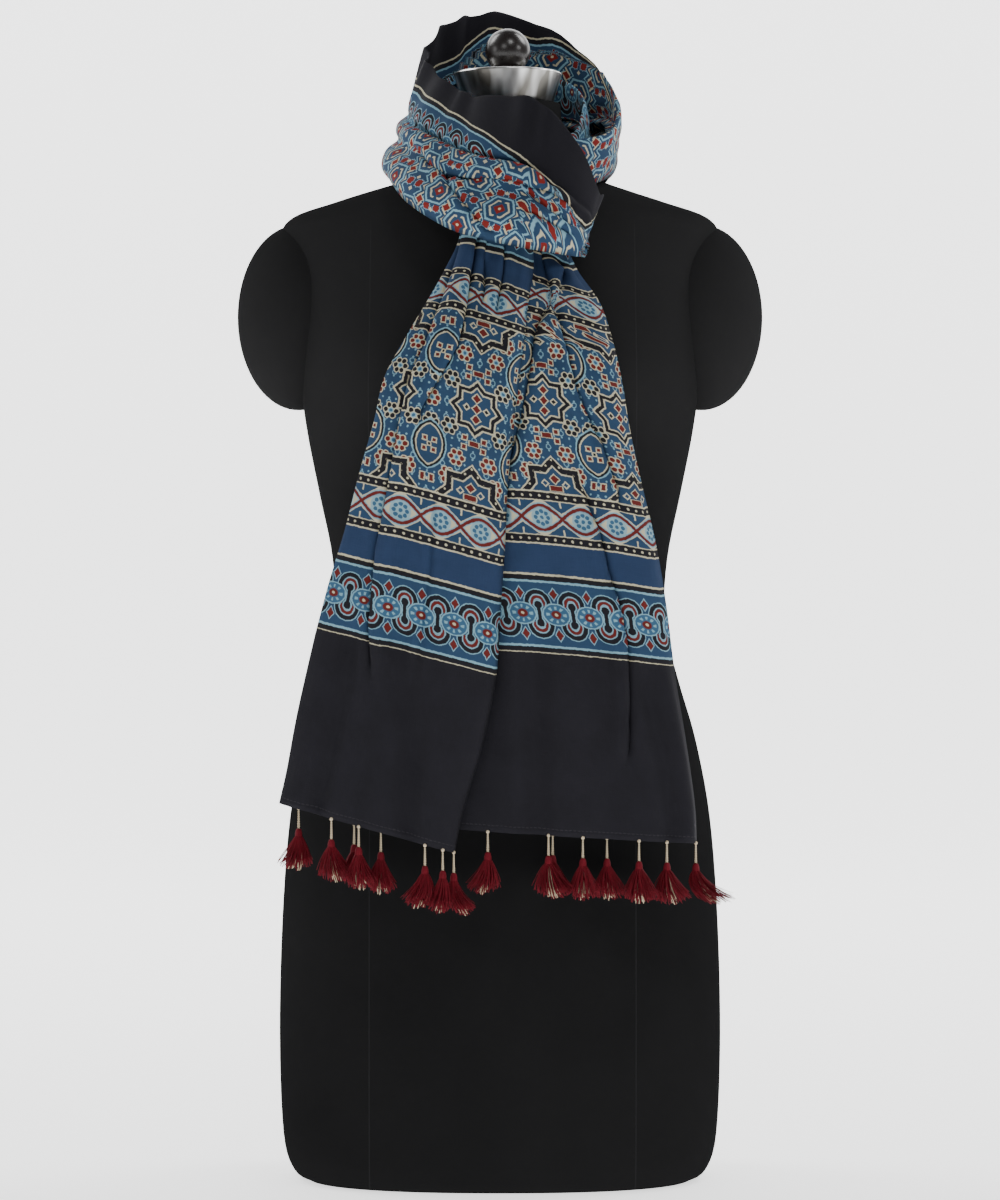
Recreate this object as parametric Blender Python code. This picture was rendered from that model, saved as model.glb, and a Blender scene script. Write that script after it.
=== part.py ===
"""An ajrakh stole, looped and pulled through round the neck of a plain dress form, with tassels on both hems.

Metres, +Z up, the wearer faces -Y. The origin is the centre of the form's foot, on the surface it stands on.
Tables are in millimetres and degrees, with a row for each section or fold.
"""

import math

import bmesh
import bpy
import numpy as np
from mathutils import Vector

MM = 0.001

# Cloth
CLOTH_THICKNESS = 1.2 * MM
ACROSS_PER_FOLD = 2

# Dress form
FORM_SIDES = 28
NECK_X = 6.0
NECK_TOP = 833.0
RING_TOP = 858.0
RING_TOP_RADIUS = 42.0
RING_FOOT_RADIUS = 35.0
KNOB_RADIUS = 17.5
KNOB_CENTRE = 875.0
KNOB_STEM_RADIUS = 12.0
SEAT_GAP = 0.3

# Tassels
CORD_RADIUS = 1.1
CORD_LENGTH = 15.0
CORD_SIDES = 6
HEAD_RADIUS = 3.4
HEAD_HEIGHT = 7.0
SKIRT_LENGTH = 29.0
STRANDS = 12
HEM_GAP = 0.4

# Height, half-width, front depth and back depth of the form
FORM_SECTIONS = (
    (0, 148, 88, 96),
    (8, 160, 98, 108),
    (35, 168, 105, 117),
    (110, 171, 108, 124),
    (200, 169, 107, 124),
    (280, 163, 103, 114),
    (340, 152, 98, 97),
    (385, 139, 92, 87),
    (430, 128, 88, 78),
    (480, 130, 91, 80),
    (530, 140, 103, 86),
    (575, 149, 114, 92),
    (615, 155, 116, 97),
    (655, 161, 102, 101),
    (695, 167, 83, 100),
    (730, 170, 68, 90),
    (745, 161, 63, 82),
    (756, 130, 60, 75),
    (764, 105, 56, 69),
    (772, 80, 52, 61),
    (781, 60, 48, 53),
    (794, 49, 45, 47),
    (812, 43, 43, 43),
    (833, 41, 41, 41),
)
FORM_SQUARENESS = 2.35
BUST_SIDE = 78.0
BUST_HEIGHT = 596.0
BUST_REACH = 20.0
BUST_WIDTH = 46.0
BUST_TALL = 52.0

# Centre and half-sizes of an arm stub, mirrored for the other side
STUB_CENTRE = (157.0, 2.0, 668.0)
STUB_SIZE = (47.0, 57.0, 72.0)

# Height, left and right edge of the left hanging end and of the right one, and how far they stand out
TAIL_ROWS = (
    (270, -163, -36, -48, 145, 127),
    (300, -157, -30, -44, 143, 128),
    (345, -149, -17, -34, 136, 130),
    (395, -138, -7, -26, 127, 133),
    (445, -126, -4, -20, 120, 135),
    (490, -113, -1, -16, 112, 137),
    (535, -102, 1, -12, 101, 139),
    (575, -91, 5, -8, 92, 141),
    (610, -83, 9, -5, 86, 140),
    (642, -67, 13, -2, 79, 132),
    (670, -52, 16, 0, 70, 116),
    (695, -39, 20, 1, 54, 99),
    (718, -29, 20, 2, 45, 91),
)
TAIL_WRAP = 0.0012
FRONT_TAIL_STEP = (18.0, 16.0)

# How far the two hidden layers reach across at the hem, which sets how much cloth they hold
HEM_REACH = {"left": 1.1, "right": 0.72}

# How far each end's hem lies above the lowest row, at its left and right edge
HEM_RISE = {"left": (26, -8), "right": (9, -4)}

# Folds across a hanging end: place across and depth at the hem, then at the knot.
# The first six are the back layer, the middle eight the front and the last four lie between them.
TAIL_FOLDS = (
    (0.08, 0.5, 0.10, 0.3),
    (0.28, 1.8, 0.28, 1.4),
    (0.48, 0.2, 0.46, 0.0),
    (0.68, 1.8, 0.64, 1.4),
    (0.86, 0.2, 0.82, 0.3),
    (0.97, 2.2, 0.97, 1.8),
    (1.01, 7.0, 1.03, 6.0),
    (0.95, 12.5, 0.94, 11.5),
    (0.80, 14.5, 0.80, 10.5),
    (0.66, 12.5, 0.64, 13.5),
    (0.52, 14.5, 0.50, 11.5),
    (0.40, 13.0, 0.40, 13.8),
    (0.28, 14.5, 0.28, 12.0),
    (0.15, 12.5, 0.14, 13.0),
    (0.03, 11.5, 0.02, 10.5),
    (-0.01, 8.0, -0.03, 7.0),
    (0.10, 5.0, 0.07, 4.8),
    (0.30, 5.6, 0.23, 5.0),
    (0.52, 4.6, 0.40, 4.4),
    (0.74, 5.6, 0.57, 5.0),
)
FRONT_FOLDS = range(7, 15)

# Creases down the hanging ends, as troughs: their places across at given heights, then depth and half-width
CREASES = {
    "left": (
        (((760, 0.50), (714, 0.31), (680, 0.19), (606, 0.25), (498, 0.23), (415, 0.29), (270, 0.40)), 6.0, 5.0),
        (((560, 0.54), (526, 0.56), (450, 0.62), (400, 0.61), (270, 0.62)), 2.5, 4.0),
    ),
    "right": (
        (((760, 0.70), (703, 0.57), (667, 0.40), (606, 0.35), (573, 0.29), (526, 0.22), (480, 0.16)), 5.5, 5.0),
        (((667, 0.68), (639, 0.68), (617, 0.76), (589, 0.84), (550, 0.92)), 4.0, 4.5),
        (((530, 0.62), (504, 0.69), (469, 0.77), (433, 0.85), (381, 0.83), (270, 0.80)), 5.0, 5.0),
    ),
}
CREASE_FADE = 30.0

# Folds across the neck loop: place between its lower and upper edge and how far each stands out,
# where its upper edge lies open, then where that is tucked in
LOOP_FOLDS = (
    (0.62, -3.6, 0.90, -4.0),
    (0.50, -4.0, 0.72, -4.4),
    (0.37, -4.0, 0.54, -4.0),
    (0.24, -4.0, 0.36, -4.4),
    (0.11, -3.8, 0.18, -4.0),
    (0.01, -2.8, 0.03, -3.2),
    (-0.03, 1.0, -0.03, 0.5),
    (0.04, 8.0, 0.06, 4.2),
    (0.13, 11.0, 0.20, 5.5),
    (0.23, 10.0, 0.34, 4.5),
    (0.31, 4.0, 0.48, 5.5),
    (0.38, 7.5, 0.62, 4.5),
    (0.45, 8.0, 0.76, 5.5),
    (0.51, 2.0, 0.90, 4.8),
    (0.57, 3.0, 1.00, 3.6),
    (0.64, 3.5, 1.03, 0.8),
    (0.73, 3.0, 0.93, -0.6),
    (0.82, 2.0, 0.77, -0.2),
    (0.91, 1.0, 0.60, -0.6),
    (1.00, 0.0, 0.43, -0.2),
)
HIDDEN_FOLDS = 6
UNROLLED_STEP = -0.02

# Outer strand of the loop, from the right of the neck round the back to the front:
# angle, radius and height of its lower edge, the same of its upper edge, puff of its folds and tuck of its edge
OUTER_STRAND = (
    (54, 86, 772, 46, 94, 800, 0.6, 1.0),
    (74, 81, 778, 70, 89, 815, 0.7, 1.0),
    (96, 79, 779, 93, 84, 834, 0.8, 0.8),
    (118, 78, 776, 116, 83, 851, 0.8, 0.4),
    (140, 78, 771, 139, 82, 867, 0.8, 0.1),
    (162, 79, 766, 163, 79, 886, 0.8, 0.0),
    (185, 80, 764, 188, 76, 894, 0.8, 0.0),
    (208, 81, 767, 212, 71, 890, 0.8, 0.0),
    (230, 84, 773, 237, 66, 881, 0.9, 0.0),
    (252, 87, 778, 258, 64, 874, 1.0, 0.0),
    (274, 90, 779, 282, 63, 864, 1.0, 0.0),
    (297, 99, 773, 304, 63, 851, 1.0, 0.0),
    (320, 115, 754, 325, 67, 839, 1.0, 0.0),
    (340, 130, 733, 342, 78, 831, 1.0, 0.0),
    (352, 136, 724, 357, 91, 829, 1.0, 0.0),
    (361, 138, 719, 370, 104, 826, 0.9, 0.0),
    (369, 140, 715, 379, 118, 809, 0.8, 0.0),
    (376, 140, 712, 386, 128, 784, 0.6, 0.0),
    (382, 138, 710, 391, 130, 763, 0.4, 0.1),
)

# Turn of the loop at the right of the knot: lower point, upper point, way out, roll, puff and tuck
LOOP_TURN = (
    ((60, -121, 711), (75, -107, 753), (0.75, -0.66, 0), 0.3, 0.3, 0.0),
    ((62, -112, 712), (78, -98, 753), (0.98, -0.2, 0), 0.0, 0.05, 0.0),
    ((61, -102, 714), (76, -88, 752), (0.95, 0.3, 0), -0.3, -0.3, 0.5),
    ((54, -93, 718), (68, -80, 750), (-0.6, -0.8, 0), 0.5, 0.4, 0.85),
)

# Inner strand, from the turn back round the neck, with the outer strand's columns
INNER_STRAND = (
    (386, 87, 723, 388, 80, 748, 0.5, 1.0),
    (369, 82, 729, 370, 74, 757, 0.5, 1.0),
    (352, 78, 739, 352, 68, 773, 0.5, 1.0),
    (332, 76, 761, 332, 64, 792, 0.5, 1.0),
    (308, 67, 780, 308, 60, 806, 0.55, 1.0),
    (280, 65, 786, 280, 58, 824, 0.6, 1.0),
    (254, 65, 786, 254, 57, 844, 0.6, 1.0),
    (224, 67, 782.5, 224, 57, 859, 0.6, 1.0),
    (190, 68, 775, 190, 57, 867, 0.6, 1.0),
    (156, 68, 778, 156, 58, 862, 0.6, 1.0),
    (122, 66, 783.5, 122, 58, 851, 0.6, 1.0),
    (92, 64, 785, 90, 58, 836, 0.6, 1.0),
    (72, 67, 784, 70, 60, 822, 0.55, 1.0),
    (54, 70, 777, 50, 66, 806, 0.5, 1.0),
)
OUTER_ROLL = 1.0
INNER_ROLL = 0.75

# Sections in the knot, where each strand turns down into its hanging end:
# lower point, upper point, share of the hanging end's folds, puff
LEFT_KNOT = (
    ((23, -112, 731), (-20, -104, 760), 0.8, 0.5),
    ((49, -95, 759), (15, -87, 790), 0.4, 0.5),
)
RIGHT_KNOT = (
    ((45, -93, 737), (8, -87, 765), 0.8, 0.5),
    ((50, -74, 769), (32, -69, 796), 0.3, 0.5),
)
FRONT = Vector((0.0, -1.0, 0.0))

# Tassels of each hem: place among the folds, how far the skirt swings right and forward, and its half-width
TASSELS = {
    "left": (
        (0.5, -1.0, 0.0, 7.0),
        (11.85, 0.0, 1.0, 7.5),
        (10.5, 1.0, 0.0, 7.5),
        (2.7, -2.0, 0.0, 6.5),
        (7.7, -3.0, 1.0, 6.0),
        (7.0, -0.5, 2.0, 5.0),
        (5.9, 5.0, -2.0, 5.5),
        (2.0, 0.0, -1.0, 6.5),
    ),
    "right": (
        (12.6, -1.0, 0.0, 7.5),
        (10.7, 0.0, 1.0, 8.0),
        (9.65, 1.0, 0.0, 7.5),
        (2.25, 1.0, -1.0, 6.5),
        (8.1, 0.0, 1.0, 7.0),
        (7.4, 2.0, 0.0, 6.5),
        (5.9, 10.0, 0.0, 7.5),
        (0.8, 0.0, -1.0, 6.5),
    ),
}

# Each lock at two heights: share of the skirt's length, of its half-width, depth to width, half its own thickness
LOCK_LEVELS = (
    (0.45, 0.55, 0.75, 0.42),
    (1.00, 1.00, 0.42, 0.65),
)


def clear_scene():
    for thing in list(bpy.data.objects):
        bpy.data.objects.remove(thing)


def make_material(name, colour, roughness, metallic=0.0):
    material = bpy.data.materials.new(name)
    material.use_nodes = True
    shader = material.node_tree.nodes["Principled BSDF"]
    shader.inputs["Base Color"].default_value = (*colour, 1.0)
    shader.inputs["Roughness"].default_value = roughness
    shader.inputs["Metallic"].default_value = metallic
    return material


def add_object(name, mesh_builder, material):
    mesh = bpy.data.meshes.new(name)
    mesh_builder.to_mesh(mesh)
    mesh_builder.free()
    mesh.materials.append(material)
    thing = bpy.data.objects.new(name, mesh)
    bpy.context.scene.collection.objects.link(thing)
    return thing


def spline(rows, place):
    """The point at a fractional place on the smooth curve through these rows."""
    last = len(rows) - 1
    start = min(max(int(math.floor(place)), 0), last - 1)
    t = place - start
    before = rows[start - 1] if start else 2 * rows[0] - rows[1]
    after = rows[start + 2] if start + 2 <= last else 2 * rows[last] - rows[last - 1]
    a, b = rows[start], rows[start + 1]
    return 0.5 * (
        2 * a
        + (b - before) * t
        + (2 * before - 5 * a + 4 * b - after) * t**2
        + (3 * a - before - 3 * b + after) * t**3
    )


def column(table, index):
    return np.array([row[index] for row in table], float)


def blend(low, high, share):
    return low + (high - low) * share


# Hanging ends


def tail_row(side, level):
    """Points across one hanging end at row `level` of TAIL_ROWS: x, y, z, place across, share of the creases."""
    height, left_a, left_b, right_a, right_b, stand = TAIL_ROWS[level]
    left, right = (left_a, left_b) if side == "left" else (right_a, right_b)
    climb = level / (len(TAIL_ROWS) - 1)
    gather = climb**1.5
    step = blend(*FRONT_TAIL_STEP, climb) if side == "left" else 0.0
    reach = blend(HEM_REACH[side], 1.0, gather)
    points = []
    for index, fold in enumerate(TAIL_FOLDS):
        place = blend(fold[0], fold[2], gather)
        depth = blend(fold[1], fold[3], gather)
        if index not in FRONT_FOLDS:
            turn = 1.0 if index < FRONT_FOLDS[0] else 0.0
            place = turn + (place - turn) * reach
        x = blend(left, right, place)
        rise = blend(*HEM_RISE[side], place) * (1 - climb) ** 2
        y = -(stand + step + depth) + TAIL_WRAP * x * x
        points.append((x, y, height + rise, place, float(index in FRONT_FOLDS)))
    return np.array(points)


def crease_depth(side, place, height, width):
    """How far the creases of one hanging end push its front layer in."""
    total = 0.0
    for path, depth, half_width in CREASES[side]:
        heights = [row[0] for row in path][::-1]
        places = [row[1] for row in path][::-1]
        away = (place - np.interp(height, heights, places)) * width / half_width
        ends = (height - heights[0]) / CREASE_FADE, (heights[-1] - height) / CREASE_FADE
        fade = min(1.0, max(0.0, 1.0 + min(ends)))
        total += depth * fade * math.exp(-away * away)
    return total


# Neck loop


def loop_profile(roll, puff, tuck):
    """Place and stand-off of each fold across the neck loop."""
    open_places, open_depths = column(LOOP_FOLDS, 0), column(LOOP_FOLDS, 1)
    places = blend(open_places, column(LOOP_FOLDS, 2), tuck)
    depths = blend(open_depths, column(LOOP_FOLDS, 3), tuck)
    flat_places = -0.03 + UNROLLED_STEP * np.arange(HIDDEN_FOLDS, 0, -1)
    places[:HIDDEN_FOLDS] = blend(flat_places, places[:HIDDEN_FOLDS], abs(roll))
    depths[:HIDDEN_FOLDS] *= roll
    depths[HIDDEN_FOLDS:] *= puff
    return places, depths


def section(low, top, outward, places, depths):
    low, top, outward = (np.array(v, float) for v in (low, top, outward))
    outward = outward / np.linalg.norm(outward)
    points = low + np.outer(places, top - low) + np.outer(depths, outward)
    return np.column_stack((points, 1.0 - places, np.zeros(len(places))))


def round_neck(angle, radius, height):
    turn = math.radians(angle)
    return (NECK_X + radius * math.sin(turn), -radius * math.cos(turn), height)


def strand_row(row, roll):
    low_angle, low_radius, low_z, top_angle, top_radius, top_z, puff, tuck = row
    middle = math.radians((low_angle + top_angle) / 2)
    outward = (math.sin(middle), -math.cos(middle), 0.0)
    low = round_neck(low_angle, low_radius, low_z)
    top = round_neck(top_angle, top_radius, top_z)
    return section(low, top, outward, *loop_profile(roll, puff, tuck))


def turn_row(row):
    low, top, outward, roll, puff, tuck = row
    return section(low, top, outward, *loop_profile(roll, puff, tuck))


def knot_row(row, roll):
    """A section inside the knot, part hanging end and part neck loop."""
    low, top, tail_share, puff = row
    loop_places, loop_depths = loop_profile(roll, puff, 1.0)
    tail_places = 1.0 - column(TAIL_FOLDS, 2)
    tail_depths = column(TAIL_FOLDS, 3) - 7.0
    places = blend(loop_places, tail_places, tail_share)
    depths = blend(loop_depths, tail_depths, tail_share)
    row = section(low, top, FRONT, places, depths)
    row[list(FRONT_FOLDS), 4] = tail_share
    return row


def stole_rows():
    """Every control section of the stole, from the left hem to the right one."""
    levels = range(len(TAIL_ROWS))
    rows = [tail_row("left", level) for level in levels]
    rows += [knot_row(row, OUTER_ROLL) for row in LEFT_KNOT]
    rows += [strand_row(row, OUTER_ROLL) for row in OUTER_STRAND]
    rows += [turn_row(row) for row in LOOP_TURN]
    rows += [strand_row(row, INNER_ROLL) for row in INNER_STRAND]
    rows += [knot_row(row, INNER_ROLL) for row in reversed(RIGHT_KNOT)]
    rows += [tail_row("right", level) for level in reversed(levels)]
    return rows


def cloth_point(row, fold, side):
    """The point at a fractional place among the folds of one section, with its creases."""
    x, y, z, place, share = spline(row, fold)
    if share > 0.0:
        width = abs(row[6][0] - row[15][0])
        y += min(share, 1.0) * crease_depth(side, place, z, width)
    return Vector((x, y, z))


def across(row, side):
    steps = (len(row) - 1) * ACROSS_PER_FOLD
    folds = [step / ACROSS_PER_FOLD for step in range(steps + 1)]
    return [cloth_point(row, fold, side) * MM for fold in folds]


def build_stole(material):
    builder = bmesh.new()
    rows = stole_rows()
    grid = []
    for index, row in enumerate(rows):
        side = "left" if index < len(rows) / 2 else "right"
        grid.append([builder.verts.new(point) for point in across(row, side)])
    for row, following in zip(grid, grid[1:]):
        for a, b, c, d in zip(row, row[1:], following[1:], following):
            builder.faces.new((a, b, c, d))
    stole = add_object("stole", builder, material)
    solid = stole.modifiers.new("thickness", "SOLIDIFY")
    solid.thickness = CLOTH_THICKNESS
    solid.offset = 0.0
    stole.data.shade_smooth()
    return stole


# Dress form


def form_point(angle, height, half_width, front, back):
    side, ahead = math.sin(angle), -math.cos(angle)
    power = 2.0 / FORM_SQUARENESS
    x = math.copysign(abs(side) ** power, side) * half_width
    depth = front if ahead < 0 else back
    y = math.copysign(abs(ahead) ** power, ahead) * depth
    if ahead < 0:
        for breast in (-BUST_SIDE, BUST_SIDE):
            spread = ((x - breast) / BUST_WIDTH) ** 2
            spread += ((height - BUST_HEIGHT) / BUST_TALL) ** 2
            y -= BUST_REACH * math.exp(-spread) * min(1.0, -2 * ahead)
    return Vector((x, y, height))


def build_torso():
    """The lofted trunk, from its flat foot to the top of the neck."""
    builder = bmesh.new()
    rings = []
    neck_start = 763
    for height, half_width, front, back in FORM_SECTIONS:
        shift = NECK_X * min(1.0, max(0.0, (height - neck_start) / 30.0))
        ring = []
        for index in range(FORM_SIDES):
            angle = 2 * math.pi * index / FORM_SIDES
            point = form_point(angle, height, half_width, front, back)
            ring.append(builder.verts.new((point + Vector((shift, 0, 0))) * MM))
        rings.append(ring)
    for ring, following in zip(rings, rings[1:]):
        for index in range(FORM_SIDES):
            after = (index + 1) % FORM_SIDES
            builder.faces.new(
                (ring[index], ring[after], following[after], following[index])
            )
    builder.faces.new(reversed(rings[0]))
    builder.faces.new(rings[-1])
    bmesh.ops.recalc_face_normals(builder, faces=builder.faces)
    return builder


def add_stub_cutter(side, material):
    """A rounded arm stub, joined to the trunk by a Boolean."""
    builder = bmesh.new()
    bmesh.ops.create_uvsphere(builder, u_segments=16, v_segments=10, radius=1.0)
    centre = Vector((STUB_CENTRE[0] * side, STUB_CENTRE[1], STUB_CENTRE[2])) * MM
    for vert in builder.verts:
        x, y, z = vert.co
        vert.co = Vector(
            (x * STUB_SIZE[0] * MM, y * STUB_SIZE[1] * MM, z * STUB_SIZE[2] * MM)
        )
        vert.co += centre
    stub = add_object(f"stub_{'right' if side > 0 else 'left'}", builder, material)
    stub.hide_render = True
    stub.display_type = "WIRE"
    return stub


def build_form(material):
    form = add_object("dress_form", build_torso(), material)
    for side in (-1, 1):
        join = form.modifiers.new("arm_stub", "BOOLEAN")
        join.operation = "UNION"
        join.object = add_stub_cutter(side, material)
    form.data.shade_smooth()
    return form


def turned(name, profile, centre_x, sides, material):
    """A piece turned about a vertical axis from (radius, height) pairs, closed at both ends on the axis."""
    builder = bmesh.new()
    verts = [
        builder.verts.new(((centre_x + radius) * MM, 0.0, height * MM))
        for radius, height in profile
    ]
    edges = [builder.edges.new(pair) for pair in zip(verts, verts[1:])]
    bmesh.ops.spin(
        builder,
        geom=verts + edges,
        cent=(centre_x * MM, 0.0, 0.0),
        axis=(0.0, 0.0, 1.0),
        angle=2 * math.pi,
        steps=sides,
        use_merge=True,
    )
    bmesh.ops.remove_doubles(builder, verts=builder.verts, dist=0.00001)
    bmesh.ops.recalc_face_normals(builder, faces=builder.faces)
    return add_object(name, builder, material)


def build_neck_ring(material):
    foot = NECK_TOP + SEAT_GAP
    profile = (
        (0.0, foot),
        (RING_FOOT_RADIUS - 1.0, foot),
        (RING_FOOT_RADIUS, foot + 1.0),
        (RING_TOP_RADIUS, RING_TOP - 1.5),
        (RING_TOP_RADIUS - 1.5, RING_TOP),
        (0.0, RING_TOP),
    )
    return turned("neck_ring", profile, NECK_X, 28, material)


def build_knob(material):
    foot = RING_TOP + SEAT_GAP
    profile = [
        (0.0, foot),
        (KNOB_STEM_RADIUS + 4.0, foot),
        (KNOB_STEM_RADIUS + 2.0, foot + 2.0),
        (KNOB_STEM_RADIUS, foot + 4.0),
    ]
    waist = -math.acos(KNOB_STEM_RADIUS / KNOB_RADIUS)
    steps = 6
    for index in range(1, steps):
        turn = blend(waist, math.pi / 2, index / steps)
        profile.append(
            (
                KNOB_RADIUS * math.cos(turn),
                KNOB_CENTRE + KNOB_RADIUS * math.sin(turn),
            )
        )
    profile.append((0.0, KNOB_CENTRE + KNOB_RADIUS))
    return turned("knob", profile, NECK_X, 20, material)


# Tassels


def hem_point(side, place):
    """Point on the hem at a fractional place among the folds."""
    return cloth_point(tail_row(side, 0), place, side)


def ring_of(builder, centre, radius_x, radius_y, sides):
    ring = []
    for index in range(sides):
        turn = 2 * math.pi * index / sides
        offset = Vector((radius_x * math.cos(turn), radius_y * math.sin(turn), 0.0))
        ring.append(builder.verts.new((centre + offset) * MM))
    return ring


def bridge(builder, lower, upper):
    return bmesh.ops.bridge_loops(
        builder,
        edges=[
            builder.edges.get((ring[index], ring[(index + 1) % len(ring)]))
            or builder.edges.new((ring[index], ring[(index + 1) % len(ring)]))
            for ring in (lower, upper)
            for index in range(len(ring))
        ],
    )


def lock_turns(across, deep):
    """Angles that are evenly apart along an ellipse, one for each lock."""
    fine = np.linspace(0.0, 2 * math.pi, 361)
    steps = np.hypot(across * np.diff(np.cos(fine)), deep * np.diff(np.sin(fine)))
    run = np.concatenate(([0.0], np.cumsum(steps)))
    return np.interp((np.arange(STRANDS) + 0.5) / STRANDS * run[-1], run, fine)


def turn_about(axis, face):
    away = face.calc_center_median() - axis
    return math.atan2(away.y, away.x) % (2 * math.pi)


def build_tassel(name, top, swing, width, material):
    """A cord, a wrapped head and its skirt of separate locks, all one solid."""
    builder = bmesh.new()
    head_top = top - Vector((0, 0, CORD_LENGTH))
    head_foot = head_top - Vector((0, 0, HEAD_HEIGHT))
    sizes = (
        (top, CORD_RADIUS),
        (head_top, CORD_RADIUS),
        (head_top - Vector((0, 0, 0.35 * HEAD_HEIGHT)), HEAD_RADIUS * 0.8),
        (head_foot, HEAD_RADIUS),
    )
    rings = [ring_of(builder, centre, r, r, STRANDS) for centre, r in sizes]
    for lower, upper in zip(rings, rings[1:]):
        bridge(builder, lower, upper)
    builder.faces.new(rings[0])
    hub = builder.verts.new(head_foot * MM)
    lock_faces = []
    for index in range(STRANDS):
        after = (index + 1) % STRANDS
        lock_faces.append(
            builder.faces.new((rings[-1][after], rings[-1][index], hub))
        )
    bmesh.ops.recalc_face_normals(builder, faces=builder.faces)
    bmesh.ops.inset_individual(builder, faces=lock_faces, thickness=0.12 * MM)
    axis = head_foot * MM
    for share, reach, flatness, half in LOCK_LEVELS:
        made = bmesh.ops.extrude_discrete_faces(builder, faces=lock_faces)
        lock_faces = sorted(made["faces"], key=lambda face: turn_about(axis, face))
        axis = (head_foot + swing * share) * MM
        across, deep = width * reach, width * reach * flatness
        for index, turn in enumerate(lock_turns(across, deep)):
            out = Vector((deep * math.cos(turn), across * math.sin(turn), 0)).normalized()
            beside = Vector((-out.y, out.x, 0))
            centre = head_foot + swing * share
            centre += Vector((across * math.cos(turn), deep * math.sin(turn), 0))
            uneven = 1.0 - 0.10 * ((index * 5) % 3) / 2
            centre.z -= SKIRT_LENGTH * share * uneven
            inner, *outer = sorted(lock_faces[index].verts, key=lambda vert: vert.co.dot(out))
            before, after = sorted(outer, key=lambda vert: vert.co.dot(beside))
            inner.co = (centre - out * half) * MM
            before.co = (centre + (out - beside) * half) * MM
            after.co = (centre + (out + beside) * half) * MM
    return add_object(name, builder, material)


def build_tassels(material):
    for side, rows in TASSELS.items():
        for number, row in enumerate(rows, start=1):
            place, right, forward, width = row
            top = hem_point(side, place) - Vector((0, 0, HEM_GAP))
            swing = Vector((right, -forward, 0))
            build_tassel(f"tassel_{side}_{number}", top, swing, width, material)


def main():
    clear_scene()
    indigo = make_material("indigo_print", (0.045, 0.11, 0.21), 0.85)
    black = make_material("form_black", (0.025, 0.025, 0.027), 0.55)
    steel = make_material("polished_steel", (0.75, 0.76, 0.77), 0.18, 1.0)
    lacquer = make_material("black_lacquer", (0.02, 0.018, 0.016), 0.25)
    madder = make_material("madder_thread", (0.26, 0.015, 0.03), 0.8)
    build_stole(indigo)
    build_form(black)
    build_neck_ring(steel)
    build_knob(lacquer)
    build_tassels(madder)


main()
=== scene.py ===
"""Looks of the ajrakh stole on its dress form: printed cloth, fine tassels, covered form, steel ring and knob.

Tables are in millimetres and degrees. The stole's own tables are the same as in the part's source.
"""

import math
import random

import bmesh
import bpy
import numpy as np
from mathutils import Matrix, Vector


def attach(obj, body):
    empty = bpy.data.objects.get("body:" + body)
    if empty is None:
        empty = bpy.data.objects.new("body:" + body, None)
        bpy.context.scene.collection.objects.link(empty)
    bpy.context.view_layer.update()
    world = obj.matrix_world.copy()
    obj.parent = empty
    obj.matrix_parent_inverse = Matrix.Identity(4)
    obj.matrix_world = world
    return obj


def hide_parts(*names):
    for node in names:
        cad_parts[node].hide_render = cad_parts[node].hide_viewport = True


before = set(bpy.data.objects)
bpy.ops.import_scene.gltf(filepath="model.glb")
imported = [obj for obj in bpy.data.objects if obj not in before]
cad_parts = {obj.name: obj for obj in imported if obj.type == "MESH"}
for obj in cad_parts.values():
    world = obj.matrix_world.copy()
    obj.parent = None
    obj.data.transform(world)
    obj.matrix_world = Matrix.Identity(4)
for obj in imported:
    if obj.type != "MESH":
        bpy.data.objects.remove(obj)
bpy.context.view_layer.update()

MM = 0.001

# Camera: level, in front of the form, its frame measured in the plane of the cloth
CAMERA_DISTANCE = 3.03
CAMERA_PLANE = -0.07
FRAME_HEIGHT = 0.912
FRAME_CENTRE = (0.0, 0.4484)

# Cloth as cut
STOLE_WIDTH = 420.0
CLOTH_THICKNESS = 0.5


# Places and folds of the cloth, as in the part's source
NECK_X = 6.0

# Height, left and right edge of the left hanging end and of the right one, and how far they stand out
TAIL_ROWS = (
    (270, -163, -36, -48, 145, 127),
    (300, -157, -30, -44, 143, 128),
    (345, -149, -17, -34, 136, 130),
    (395, -138, -7, -26, 127, 133),
    (445, -126, -4, -20, 120, 135),
    (490, -113, -1, -16, 112, 137),
    (535, -102, 1, -12, 101, 139),
    (575, -91, 5, -8, 92, 141),
    (610, -83, 9, -5, 86, 140),
    (642, -67, 13, -2, 79, 132),
    (670, -52, 16, 0, 70, 116),
    (695, -39, 20, 1, 54, 99),
    (718, -29, 20, 2, 45, 91),
)
TAIL_WRAP = 0.0012
FRONT_TAIL_STEP = (18.0, 16.0)

# How far the two hidden layers reach across at the hem, which sets how much cloth they hold
HEM_REACH = {"left": 1.1, "right": 0.72}

# How far each end's hem lies above the lowest row, at its left and right edge
HEM_RISE = {"left": (26, -8), "right": (9, -4)}

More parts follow.
